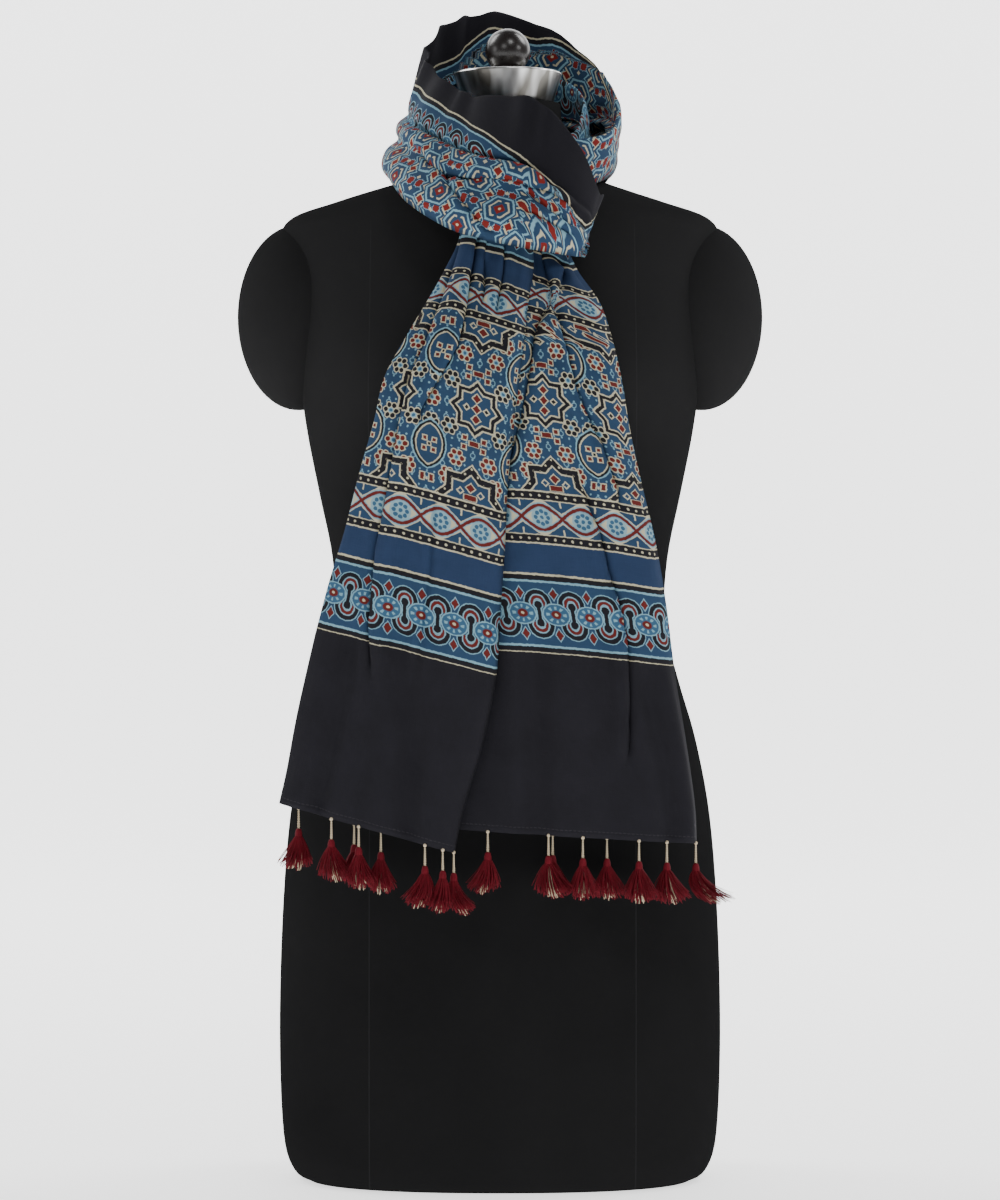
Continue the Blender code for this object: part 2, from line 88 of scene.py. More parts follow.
# Folds across a hanging end: place across and depth at the hem, then at the knot.
# The first six are the back layer, the middle eight the front and the last four lie between them.
TAIL_FOLDS = (
    (0.08, 0.5, 0.10, 0.3),
    (0.28, 1.8, 0.28, 1.4),
    (0.48, 0.2, 0.46, 0.0),
    (0.68, 1.8, 0.64, 1.4),
    (0.86, 0.2, 0.82, 0.3),
    (0.97, 2.2, 0.97, 1.8),
    (1.01, 7.0, 1.03, 6.0),
    (0.95, 12.5, 0.94, 11.5),
    (0.80, 14.5, 0.80, 10.5),
    (0.66, 12.5, 0.64, 13.5),
    (0.52, 14.5, 0.50, 11.5),
    (0.40, 13.0, 0.40, 13.8),
    (0.28, 14.5, 0.28, 12.0),
    (0.15, 12.5, 0.14, 13.0),
    (0.03, 11.5, 0.02, 10.5),
    (-0.01, 8.0, -0.03, 7.0),
    (0.10, 5.0, 0.07, 4.8),
    (0.30, 5.6, 0.23, 5.0),
    (0.52, 4.6, 0.40, 4.4),
    (0.74, 5.6, 0.57, 5.0),
)
FRONT_FOLDS = range(7, 15)

# Folds across the neck loop: place between its lower and upper edge and how far each stands out,
# where its upper edge lies open, then where that is tucked in
LOOP_FOLDS = (
    (0.62, -3.6, 0.90, -4.0),
    (0.50, -4.0, 0.72, -4.4),
    (0.37, -4.0, 0.54, -4.0),
    (0.24, -4.0, 0.36, -4.4),
    (0.11, -3.8, 0.18, -4.0),
    (0.01, -2.8, 0.03, -3.2),
    (-0.03, 1.0, -0.03, 0.5),
    (0.04, 8.0, 0.06, 4.2),
    (0.13, 11.0, 0.20, 5.5),
    (0.23, 10.0, 0.34, 4.5),
    (0.31, 4.0, 0.48, 5.5),
    (0.38, 7.5, 0.62, 4.5),
    (0.45, 8.0, 0.76, 5.5),
    (0.51, 2.0, 0.90, 4.8),
    (0.57, 3.0, 1.00, 3.6),
    (0.64, 3.5, 1.03, 0.8),
    (0.73, 3.0, 0.93, -0.6),
    (0.82, 2.0, 0.77, -0.2),
    (0.91, 1.0, 0.60, -0.6),
    (1.00, 0.0, 0.43, -0.2),
)
HIDDEN_FOLDS = 6
UNROLLED_STEP = -0.02

# Outer strand of the loop, from the right of the neck round the back to the front:
# angle, radius and height of its lower edge, the same of its upper edge, puff of its folds and tuck of its edge
OUTER_STRAND = (
    (54, 86, 772, 46, 94, 800, 0.6, 1.0),
    (74, 81, 778, 70, 89, 815, 0.7, 1.0),
    (96, 79, 779, 93, 84, 834, 0.8, 0.8),
    (118, 78, 776, 116, 83, 851, 0.8, 0.4),
    (140, 78, 771, 139, 82, 867, 0.8, 0.1),
    (162, 79, 766, 163, 79, 886, 0.8, 0.0),
    (185, 80, 764, 188, 76, 894, 0.8, 0.0),
    (208, 81, 767, 212, 71, 890, 0.8, 0.0),
    (230, 84, 773, 237, 66, 881, 0.9, 0.0),
    (252, 87, 778, 258, 64, 874, 1.0, 0.0),
    (274, 90, 779, 282, 63, 864, 1.0, 0.0),
    (297, 99, 773, 304, 63, 851, 1.0, 0.0),
    (320, 115, 754, 325, 67, 839, 1.0, 0.0),
    (340, 130, 733, 342, 78, 831, 1.0, 0.0),
    (352, 136, 724, 357, 91, 829, 1.0, 0.0),
    (361, 138, 719, 370, 104, 826, 0.9, 0.0),
    (369, 140, 715, 379, 118, 809, 0.8, 0.0),
    (376, 140, 712, 386, 128, 784, 0.6, 0.0),
    (382, 138, 710, 391, 130, 763, 0.4, 0.1),
)

# Turn of the loop at the right of the knot: lower point, upper point, way out, roll, puff and tuck
LOOP_TURN = (
    ((60, -121, 711), (75, -107, 753), (0.75, -0.66, 0), 0.3, 0.3, 0.0),
    ((62, -112, 712), (78, -98, 753), (0.98, -0.2, 0), 0.0, 0.05, 0.0),
    ((61, -102, 714), (76, -88, 752), (0.95, 0.3, 0), -0.3, -0.3, 0.5),
    ((54, -93, 718), (68, -80, 750), (-0.6, -0.8, 0), 0.5, 0.4, 0.85),
)

# Inner strand, from the turn back round the neck, with the outer strand's columns
INNER_STRAND = (
    (386, 87, 723, 388, 80, 748, 0.5, 1.0),
    (369, 82, 729, 370, 74, 757, 0.5, 1.0),
    (352, 78, 739, 352, 68, 773, 0.5, 1.0),
    (332, 76, 761, 332, 64, 792, 0.5, 1.0),
    (308, 67, 780, 308, 60, 806, 0.55, 1.0),
    (280, 65, 786, 280, 58, 824, 0.6, 1.0),
    (254, 65, 786, 254, 57, 844, 0.6, 1.0),
    (224, 67, 782.5, 224, 57, 859, 0.6, 1.0),
    (190, 68, 775, 190, 57, 867, 0.6, 1.0),
    (156, 68, 778, 156, 58, 862, 0.6, 1.0),
    (122, 66, 783.5, 122, 58, 851, 0.6, 1.0),
    (92, 64, 785, 90, 58, 836, 0.6, 1.0),
    (72, 67, 784, 70, 60, 822, 0.55, 1.0),
    (54, 70, 777, 50, 66, 806, 0.5, 1.0),
)
OUTER_ROLL = 1.0
INNER_ROLL = 0.75

# Sections in the knot, where each strand turns down into its hanging end:
# lower point, upper point, share of the hanging end's folds, puff
LEFT_KNOT = (
    ((23, -112, 731), (-20, -104, 760), 0.8, 0.5),
    ((49, -95, 759), (15, -87, 790), 0.4, 0.5),
)
RIGHT_KNOT = (
    ((45, -93, 737), (8, -87, 765), 0.8, 0.5),
    ((50, -74, 769), (32, -69, 796), 0.3, 0.5),
)

# Tassels of each hem: place among the folds, how far the skirt swings right and forward, and its half-width
TASSELS = {
    "left": (
        (0.5, -1.0, 0.0, 7.0),
        (11.85, 0.0, 1.0, 7.5),
        (10.5, 1.0, 0.0, 7.5),
        (2.7, -2.0, 0.0, 6.5),
        (7.7, -3.0, 1.0, 6.0),
        (7.0, -0.5, 2.0, 5.0),
        (5.9, 5.0, -2.0, 5.5),
        (2.0, 0.0, -1.0, 6.5),
    ),
    "right": (
        (12.6, -1.0, 0.0, 7.5),
        (10.7, 0.0, 1.0, 8.0),
        (9.65, 1.0, 0.0, 7.5),
        (2.25, 1.0, -1.0, 6.5),
        (8.1, 0.0, 1.0, 7.0),
        (7.4, 2.0, 0.0, 6.5),
        (5.9, 10.0, 0.0, 7.5),
        (0.8, 0.0, -1.0, 6.5),
    ),
}

# How far the stars lie from the selvedge
STAR_SHIFT = 12.0

# Width of the plain black border along each long side, and of the whole border with its chain band
BLACK_BORDER = 46.2
SIDE_BORDER = 105.8

# Place on the flat cloth of the middle column of stars on each end
STAR_PLACE = {"left": 144.0, "right": 210.0}

# Lines on the cloth are rows of (row along the cloth, fold across it).
# Where the middle column of stars hangs on each end
STAR_COLUMN = {
    "left": ((0, 7.4), (1.1, 7.5), (2.6, 7.8), (4.25, 8.0), (5.75, 8.12), (7.38, 8.38), (8.88, 8.75),
        (11.25, 10.0), (15, 10.5)),
    "right": ((52, 10.5), (54.6, 10.88), (57, 11.3), (59.1, 10.88), (60.4, 10.25), (62, 9.88), (63.4, 9.38),
        (65, 9.0), (66, 8.8)),
}

# Where the plain border ends round the neck, and where the chain band is tucked under
BORDER_LINE = (
    (12, 18.4), (15, 18.5), (17, 18.8), (18.8, 18.9), (19.5, 18.5), (20.1, 17.95), (21.3, 18.0),
    (22, 16.5), (23, 16.0), (24.7, 16.75), (26.1, 17.0), (27, 17.0), (27.85, 16.83), (28.65, 15.92), (29.3, 15.0), (30, 14.0), (30.9, 13.0),
    (31.7, 12.25), (32.25, 10.92), (33, 10.5), (35, 16.0), (37, 18.6), (54, 18.6),
)
TUCKED_CHAIN = (
    (12, 16.5), (17, 17.6), (19.5, 17.2), (20.1, 16.8), (21.3, 16.8), (22, 15.2), (23, 14.6), (24.3, 13.2),
        (25.2, 12.3), (25.9, 12.2), (26.3, 12.9), (26.95, 13.5), (27.7, 13.67), (28.4, 13.58), (29.1, 13.17),
    (30.1, 12.92), (30.9, 12.2), (31.7, 11.5), (32.25, 10.3), (33, 9.0), (35, 9.0),
)

# Main folds: path, depth of the trough, its half-width, how much the cloth rolls up beside it towards the
# later folds and towards the earlier ones, and the width of cloth that it hides at its first and last row
FOLD_LINES = (
    (((3.2, 11.6), (3.5, 11.9), (4.1, 12.1), (4.75, 12.38), (5.75, 12.4), (7.0, 12.62), (8.75, 12.5), (9.6, 12.75),
        (10.3, 12.9), (12.5, 14.0)), 6.0, 3.6, (0.1, 0.8), (0, 34)),
    (((7.3, 11.75), (8.1, 10.9), (8.75, 10.4), (9.75, 10.88), (10.75, 11.75), (11.75, 12.25), (12.5, 12.4)),
        4.4, 2.8, (0.75, 0.2), (2, 14)),
    (((10.2, 9.5), (10.75, 10.0), (11.5, 10.88), (12.5, 11.0)), 2.6, 2.4, (0.4, 0.6), (0, 0)),
    (((3.2, 9.5), (3.6, 9.5), (4.4, 9.5), (4.9, 9.62), (5.5, 9.75)), 2.2, 2.8, (0.5, 0.3), (0, 0)),
    (((0.3, 8.4), (1.6, 9.0), (2.5, 9.62), (3.3, 10.25)), 4.6, 9.0, (0.35, 0.35), (0, 0)),
    (((0.3, 12.6), (1.4, 12.6), (2.4, 12.6), (3.2, 12.75)), 4.2, 8.0, (0.35, 0.35), (0, 0)),
    (((10.0, 8.3), (11.5, 8.6), (12.5, 8.8)), 3.2, 2.6, (0.3, 0.6), (0, 0)),
    (((53.5, 8.2), (55.25, 9.0), (56.88, 11.25), (57.75, 11.62), (58.5, 12.0), (59.12, 12.38), (59.75, 12.75),
        (60.25, 13.0)), 5.4, 3.2, (0.1, 0.8), (26, 0)),
    (((53.5, 11.2), (54.4, 11.5), (55.6, 12.25), (56.6, 12.5), (57.5, 12.88), (58.1, 13.1), (58.9, 13.4)),
        3.8, 2.8, (0.2, 0.6), (10, 4)),
    (((55.0, 7.6), (56.0, 9.4), (56.5, 9.62), (57.38, 9.25), (58.12, 9.0), (58.75, 8.5), (59.25, 8.0),
        (60.1, 7.62)), 5.0, 3.3, (0.8, 0.1), (20, 4)),
    (((60.4, 9.0), (60.75, 8.7), (61.1, 8.6), (61.5, 8.5), (61.9, 8.25), (62.5, 8.05), (63.1, 8.1), (64.0, 8.3)),
        5.0, 3.5, (0.8, 0.1), (4, 8)),
    (((62.75, 11.62), (63.5, 11.5), (64.4, 11.25), (65.9, 11.0)), 4.2, 9.0, (0.35, 0.35), (0, 0)),
    (((63.2, 7.5), (64.1, 7.3), (65.7, 7.2)), 4.4, 8.0, (0.35, 0.35), (0, 0)),
    (TUCKED_CHAIN[10:17], 3.8, 3.4, (0.15, 0.8), (0, 0)),
    (((26.9, 10.92), (27.35, 10.1), (27.75, 10.08), (28.9, 10.83), (29.62, 10.92), (30.25, 10.83), (31.0, 11.0),
        (31.7, 11.3)), 4.6, 3.2, (0.4, 0.6), (0, 0)),
    (((27.55, 10.08), (28.07, 9.0), (28.55, 8.0), (28.82, 7.25), (29.12, 6.42)), 3.6, 3.4, (0.5, 0.5), (0, 0)),
    (((30.4, 10.0), (31.12, 9.3), (32.1, 9.08)), 3.0, 2.6, (0.5, 0.5), (0, 0)),
    (((30.5, 8.62), (31.5, 8.3), (32.1, 8.1)), 2.6, 2.6, (0.5, 0.5), (0, 0)),
    (((20.6, 17.0), (21.4, 15.0), (22.2, 13.0)), 3.0, 7.0, (0.4, 0.4), (0, 0)),
)
# Rows over which a fold starts and ends
FOLD_FADE = 0.5

# How far a roll leans over its trough, against its height. A fold wider than SOFT_FOLD doesn't lean.
FOLD_LEAN = 1.35
SOFT_FOLD = 6.0

# Where a roll stands beside its trough and how wide it is, in half-widths, and the same for its lean
ROLL_PLACE, ROLL_WIDTH = 2.1, 1.3
LEAN_PLACE, LEAN_WIDTH = 1.25, 0.8

# Soft upright waves of the collar's upper edge: row and how far they stand out
UPRIGHT_WAVES = ((15, 0), (17, 2.0), (20, 2.6), (22, 3.4), (25, 3.0), (27, 1.8), (31, 1.2), (32, 0))

# How much higher the collar's back stands, row by row
COLLAR_LIFT = ((15.8, 0), (17, 8), (18, 27), (19, 26), (20, 22), (21, 22), (22, 20), (23, 16), (24, 6), (25, 0))

# Small folds of the hidden layers: row along the cloth, then how far they stand out in the back layer,
# in the layer between, and in the front where it is out of sight
GATHERS = (
    (0, 1.5, 1.0, 0.0),
    (4, 3.5, 2.5, 0.0),
    (9, 4.0, 3.5, 0.0),
    (12.5, 4.0, 3.5, 0.0),
    (13, 4.0, 3.5, 3.0),
    (14, 4.0, 3.5, 3.0),
    (14.5, 4.0, 2.0, 0.0),
    (17, 4.0, 0.0, 0.0),
    (30, 4.5, 0.0, 0.0),
    (33, 4.5, 0.0, 0.0),
    (37, 4.0, 0.0, 0.0),
    (38.5, 4.0, 4.0, 4.0),
    (46, 4.0, 4.0, 4.0),
    (46.6, 4.0, 0.0, 0.0),
    (51.4, 4.0, 0.0, 0.0),
    (52.2, 4.0, 3.5, 3.0),
    (53, 4.0, 3.5, 3.0),
    (53.5, 4.0, 3.5, 0.0),
    (57, 4.0, 3.5, 0.0),
    (62, 3.5, 2.5, 0.0),
    (66, 1.5, 1.0, 0.0),
)
GATHERED = (((0.0, 6.0), 6, 1), ((15.0, 19.0), 5, 2), ((6.0, 15.0), 14, 3))

# Tassels, as in the part's source, and the threads of their skirts
CORD_RADIUS = 1.1
CORD_LENGTH = 15.0
HEAD_RADIUS = 2.9
HEAD_HEIGHT = 5.5
SKIRT_LENGTH = 25.5
HEM_GAP = 0.4
THREADS = 150
CREAM_THREADS = 14
SKIRT_STEPS = 6
FAN = (1.75, 2.3)

# Neck fittings
RING_FOOT = 833.0
RING_TOP = 858.0
KNOB_RADIUS = 17.5
KNOB_CENTRE = 875.0

# Dress form

# Height, half-width, front depth and back depth of the form
FORM_SECTIONS = (
    (0, 148, 88, 96),
    (8, 160, 98, 108),
    (35, 168, 105, 117),
    (110, 171, 108, 124),
    (200, 169, 107, 124),
    (280, 163, 103, 114),
    (340, 152, 98, 97),
    (385, 139, 92, 87),
    (430, 128, 88, 78),
    (480, 130, 91, 80),
    (530, 140, 103, 86),
    (575, 149, 114, 92),
    (615, 155, 116, 97),
    (655, 161, 102, 101),
    (695, 167, 83, 100),
    (730, 170, 68, 90),
    (745, 161, 63, 82),
    (756, 130, 60, 75),
    (764, 105, 56, 69),
    (772, 80, 52, 61),
    (781, 60, 48, 53),
    (794, 49, 45, 47),
    (812, 43, 43, 43),
    (833, 41, 41, 41),
)
FORM_SQUARENESS = 2.35
BUST_SIDE = 78.0
BUST_HEIGHT = 596.0
BUST_REACH = 20.0
BUST_WIDTH = 46.0
BUST_TALL = 52.0

# Centre and half-sizes of an arm stub, mirrored for the other side
STUB_CENTRE = (157.0, 2.0, 668.0)
STUB_SIZE = (47.0, 57.0, 72.0)

# How finely the form is divided, round it and between its sections
FORM_SIDES = 112
FORM_STEPS = 5

# How finely each fold across the cloth, and each span along it, is divided
ACROSS_STEPS = (4,) * 6 + (9,) * 9 + (5,) * 4
ALONG_STEPS = (7,) * 12 + (6,) * 3 + (5,) * 12 + (8,) * 6 + (5,) * 5 + (3,) * 13 + (6,) * 3 + (7,) * 12
LEFT_TOP, STRAND_START, TURN_START, RIGHT_TOP = 12, 15, 33, 54
MIDDLE_ROW = 35


def column(table, index):
    return np.array([row[index] for row in table], float)


def blend(low, high, share):
    return low + (high - low) * share


def through(rows, places):
    """Points at fractional places on the smooth curve through these rows."""
    last = len(rows) - 1
    start = np.clip(np.floor(places).astype(int), 0, last - 1)
    t = (places - start).reshape((-1,) + (1,) * (rows.ndim - 1))
    ends = (2 * rows[0] - rows[1])[None], (2 * rows[-1] - rows[-2])[None]
    held = np.concatenate((ends[0], rows, ends[1]))
    before, a, b, after = (held[start + step] for step in range(4))
    return 0.5 * (
        2 * a
        + (b - before) * t
        + (2 * before - 5 * a + 4 * b - after) * t**2
        + (3 * a - before - 3 * b + after) * t**3
    )


def stepped(steps):
    """Fractional places for a table of steps to each span."""
    parts = [index + np.arange(count) / count for index, count in enumerate(steps)]
    return np.concatenate(parts + [[float(len(steps))]])


def soft_step(value, low, high):
    share = np.clip((value - low) / (high - low), 0.0, 1.0)
    return share * share * (3 - 2 * share)


# Sections of the cloth


def tail_row(side, level):
    height, left_a, left_b, right_a, right_b, stand = TAIL_ROWS[level]
    left, right = (left_a, left_b) if side == "left" else (right_a, right_b)
    climb = level / (len(TAIL_ROWS) - 1)
    gather = climb**1.5
    step = blend(*FRONT_TAIL_STEP, climb) if side == "left" else 0.0
    reach = blend(HEM_REACH[side], 1.0, gather)
    points = []
    for index, fold in enumerate(TAIL_FOLDS):
        place = blend(fold[0], fold[2], gather)
        depth = blend(fold[1], fold[3], gather)
        if index not in FRONT_FOLDS:
            turn = 1.0 if index < FRONT_FOLDS[0] else 0.0
            place = turn + (place - turn) * reach
        x = blend(left, right, place)
        rise = blend(*HEM_RISE[side], place) * (1 - climb) ** 2
        y = -(stand + step + depth) + TAIL_WRAP * x * x
        points.append((x, y, height + rise))
    return np.array(points)


def loop_profile(roll, puff, tuck):
    places = blend(column(LOOP_FOLDS, 0), column(LOOP_FOLDS, 2), tuck)
    depths = blend(column(LOOP_FOLDS, 1), column(LOOP_FOLDS, 3), tuck)
    flat_places = -0.03 + UNROLLED_STEP * np.arange(HIDDEN_FOLDS, 0, -1)
    places[:HIDDEN_FOLDS] = blend(flat_places, places[:HIDDEN_FOLDS], abs(roll))
    depths[:HIDDEN_FOLDS] *= roll
    depths[HIDDEN_FOLDS:] *= puff
    return places, depths


def section(low, top, outward, places, depths):
    low, top, outward = (np.array(v, float) for v in (low, top, outward))
    outward = outward / np.linalg.norm(outward)
    return low + np.outer(places, top - low) + np.outer(depths, outward)


def round_neck(angle, radius, height):
    turn = math.radians(angle)
    return (NECK_X + radius * math.sin(turn), -radius * math.cos(turn), height)


def strand_row(row, roll):
    low_angle, low_radius, low_z, top_angle, top_radius, top_z, puff, tuck = row
    middle = math.radians((low_angle + top_angle) / 2)
    outward = (math.sin(middle), -math.cos(middle), 0.0)
    low = round_neck(low_angle, low_radius, low_z)
    top = round_neck(top_angle, top_radius, top_z)
    return section(low, top, outward, *loop_profile(roll, puff, tuck))


def turn_row(row):
    low, top, outward, roll, puff, tuck = row
    return section(low, top, outward, *loop_profile(roll, puff, tuck))


def knot_row(row, roll):
    low, top, tail_share, puff = row
    loop_places, loop_depths = loop_profile(roll, puff, 1.0)
    places = blend(loop_places, 1.0 - column(TAIL_FOLDS, 2), tail_share)
    depths = blend(loop_depths, column(TAIL_FOLDS, 3) - 7.0, tail_share)
    return section(low, top, (0.0, -1.0, 0.0), places, depths)


def stole_rows():
    """Every control section of the stole, from the left hem to the right one."""
    levels = range(len(TAIL_ROWS))
    rows = [tail_row("left", level) for level in levels]
    rows += [knot_row(row, OUTER_ROLL) for row in LEFT_KNOT]
    rows += [strand_row(row, OUTER_ROLL) for row in OUTER_STRAND]
    rows += [turn_row(row) for row in LOOP_TURN]
    rows += [strand_row(row, INNER_ROLL) for row in INNER_STRAND]
    rows += [knot_row(row, INNER_ROLL) for row in reversed(RIGHT_KNOT)]
    rows += [tail_row("right", level) for level in reversed(levels)]
    return np.array(rows)


# Folds laid into the cloth


def into_body(points, along):
    """Unit normals of the grid, from its outer face inwards."""
    facing = np.cross(np.gradient(points, axis=1), np.gradient(points, axis=0))
    facing /= np.maximum(np.linalg.norm(facing, axis=2, keepdims=True), 1e-9)
    return facing * np.where(along < MIDDLE_ROW, 1.0, -1.0)[:, None, None]


def arc_across(points):
    """Length in mm from the first column to each one, row by row."""
    steps = np.linalg.norm(np.diff(points, axis=1), axis=2)
    return np.concatenate((np.zeros((len(points), 1)), np.cumsum(steps, axis=1)), axis=1)


def followed(path, along, across, arc):
    """Arc length at which a line of (row, fold) crosses each row, and how much of it is there."""
    rows, folds = zip(*path)
    fold = np.interp(along, rows, folds)
    place = np.array([np.interp(spot, across, run) for spot, run in zip(fold, arc)])
    there = soft_step(along, rows[0] - FOLD_FADE, rows[0]) * (1 - soft_step(along, rows[-1], rows[-1] + FOLD_FADE))
    return place[:, None], there[:, None]


def in_front(across):
    """Share of the main folds that each column takes: all in the front layer, none in the hidden ones."""
    return (soft_step(across, 5.6, 6.6) * (1 - soft_step(across, 18.6, 19.0)))[None, :]


def leaning(arc, across, along):
    """How far each roll leans across the cloth, over its trough, in mm."""
    slide = np.zeros(arc.shape)
    for path, depth, half_width, (after, before), _ in FOLD_LINES:
        if half_width > SOFT_FOLD:
            continue
        place, there = followed(path, along, across, arc)
        away = (arc - place) / half_width
        over = np.exp(-((np.abs(away) - LEAN_PLACE) ** 2) / LEAN_WIDTH)
        slide += depth * there * FOLD_LEAN * over * np.where(away > 0, -after, before)
    return slide * in_front(across)


def lay_folds(points, across, along):
    """Moves the cloth into its main folds: a soft trough with a roll on each side of it."""
    arc = arc_across(points)
    push = np.zeros(arc.shape)
    for path, depth, half_width, roll, _ in FOLD_LINES:
        place, there = followed(path, along, across, arc)
        away = (arc - place) / half_width
        trough = np.exp(-away * away)
        rolls = np.exp(-((np.abs(away) - ROLL_PLACE) ** 2) / ROLL_WIDTH)
        push += depth * there * (trough - rolls * np.where(away > 0, *roll))
    sideways = np.gradient(points, axis=1)
    sideways /= np.maximum(np.linalg.norm(sideways, axis=2, keepdims=True), 1e-9)
    push *= in_front(across)
    return points + into_body(points, along) * push[..., None] + sideways * leaning(arc, across, along)[..., None]


def lift_collar(points, across, along):
    """Stands the collar's back up as high as it is worn."""
    rows, heights = zip(*COLLAR_LIFT)
    lift = np.interp(along, rows, heights)[:, None] * soft_step(across, 9.0, 16.0)[None, :]
    points[..., 2] += lift
    rows, sizes = zip(*UPRIGHT_WAVES)
    upper = soft_step(across, 12.5, 19.0)[None, :]
    size = np.interp(along, rows, sizes)[:, None] * upper
    turn = 2 * math.pi * (along + 0.18 * np.sin(along * 2.3))[:, None] / 1.15
    points[..., 2] += 0.5 * size * np.sin(turn + 1.0)
    return points + into_body(points, along) * (size * np.sin(turn))[..., None]


def gather_hidden(points, across, along):
    """Lays the layers that don't show in small folds, which hold the cloth's real width."""
    spots = [row[0] for row in GATHERS]
    facing = into_body(points, along)
    for column_range, waves, index in GATHERED:
        low, high = column_range
        share = (across - low) / (high - low)
        held = (share >= 0) & (share <= 1)
        wave = np.sin(2 * math.pi * waves * share) * held * soft_step(share * (1 - share), 0, 0.05)
        size = np.interp(along, spots, [row[index] for row in GATHERS])
        points = points + facing * (size[:, None] * wave[None, :])[..., None]
    return points


def stole_grid():
    """The draped cloth, and its even shape before the folds, which the print is laid on."""
    rows = stole_rows()
    across = stepped(ACROSS_STEPS)
    along = stepped(ALONG_STEPS)
    fine = np.stack([through(row, across) for row in rows])
    even = lift_collar(through(fine, along), across, along)
    folded = gather_hidden(lay_folds(even, across, along), across, along)
    return folded, even, across, along


def print_places(even, across, along):
    """Place on the flat cloth of every point: from one selvedge, and from the nearer hem, in mm."""
    arc = arc_across(even)
    laid = arc + leaning(arc, across, along)
    tail = np.zeros(arc.shape)
    for side, part in (("left", along < MIDDLE_ROW), ("right", along >= MIDDLE_ROW)):
        star, _ = followed(STAR_COLUMN[side], along, across, arc)
        run = laid - star
        for path, _, half_width, _, hidden in FOLD_LINES:
            if (path[0][0] < MIDDLE_ROW) != (side == "left"):
                continue
            place, there = followed(path, along, across, arc)
            amounts = np.interp(along, [row for row, _ in path], np.linspace(*hidden, len(path)))[:, None]
            turn = soft_step(arc - place, -half_width / 3, half_width / 3)
            run = run + amounts * there * (turn - soft_step(star - place, -1, 1))
        tail = np.where(part[:, None], STAR_PLACE[side] + run, tail)
    fronts = tail[:, int(sum(ACROSS_STEPS[:6]))], tail[:, int(sum(ACROSS_STEPS[:15]))]
    first, last = (edge[:, None] for edge in fronts)
    tail = np.where(across < 6, first * across / 6, tail)
    tail = np.where(across > 15, last + (STOLE_WIDTH - last) * (across - 15) / 4, tail)

    line, _ = followed(BORDER_LINE, along, across, arc)
    from_edge = BLACK_BORDER + line - laid
    tuck, _ = followed(TUCKED_CHAIN, along, across, arc)
    under = soft_step(tuck - arc, -0.5, 0.5) * (1 - soft_step(along, TURN_START, MIDDLE_ROW))[:, None]
    from_edge = blend(from_edge, SIDE_BORDER + 3.0 + (tuck - laid), under)
    loop = STOLE_WIDTH - from_edge
    in_loop = soft_step(along, LEFT_TOP, STRAND_START) * (1 - soft_step(along, RIGHT_TOP - 3, RIGHT_TOP))
    from_selvedge = blend(tail, loop, in_loop[:, None])

    steps = np.linalg.norm(np.diff(even, axis=0), axis=2)
    middle = int(sum(ACROSS_STEPS[:10]))
    round_neck = ((along[1:] > LEFT_TOP) & (along[1:] <= RIGHT_TOP))[:, None]
    at_knot = (soft_step(along[1:], 29.5, 30.5) * (1 - soft_step(along[1:], TURN_START, TURN_START + 1)))[:, None]
    steps = np.where(round_neck, blend(steps[:, middle : middle + 1], steps, 0.8 * at_knot), steps)
    run = np.concatenate((np.zeros((1, len(across))), np.cumsum(steps, axis=0)))
    return from_selvedge, np.minimum(run, run[-1] - run)


def grid_mesh(name, points, from_selvedge, from_hem):
    """A bmesh grid of the cloth, moved point by point into its folds, with its flat place as a UV map."""
    tall, wide = points.shape[:2]
    builder = bmesh.new()
    bmesh.ops.create_grid(builder, x_segments=wide - 1, y_segments=tall - 1, size=0.5)
    mesh = bpy.data.meshes.new(name)
    builder.to_mesh(mesh)
    builder.free()
    flat = np.empty(len(mesh.vertices) * 3)
    mesh.vertices.foreach_get("co", flat)
    flat = flat.reshape(-1, 3)
    across_index = np.rint((flat[:, 0] + 0.5) * (wide - 1)).astype(int)
    along_index = np.rint((flat[:, 1] + 0.5) * (tall - 1)).astype(int)
    mesh.vertices.foreach_set("co", (points[along_index, across_index] * MM).ravel())
    corners = np.empty(len(mesh.loops), int)
    mesh.loops.foreach_get("vertex_index", corners)
    flat_place = np.stack((from_selvedge, from_hem), axis=-1)[along_index, across_index] * MM
    layer = mesh.uv_layers.new(name="flat_cloth")
    layer.data.foreach_set("uv", flat_place[corners].ravel())
    mesh.polygons.foreach_set("use_smooth", [True] * len(mesh.polygons))
    mesh.update()
    return mesh


# Finishes


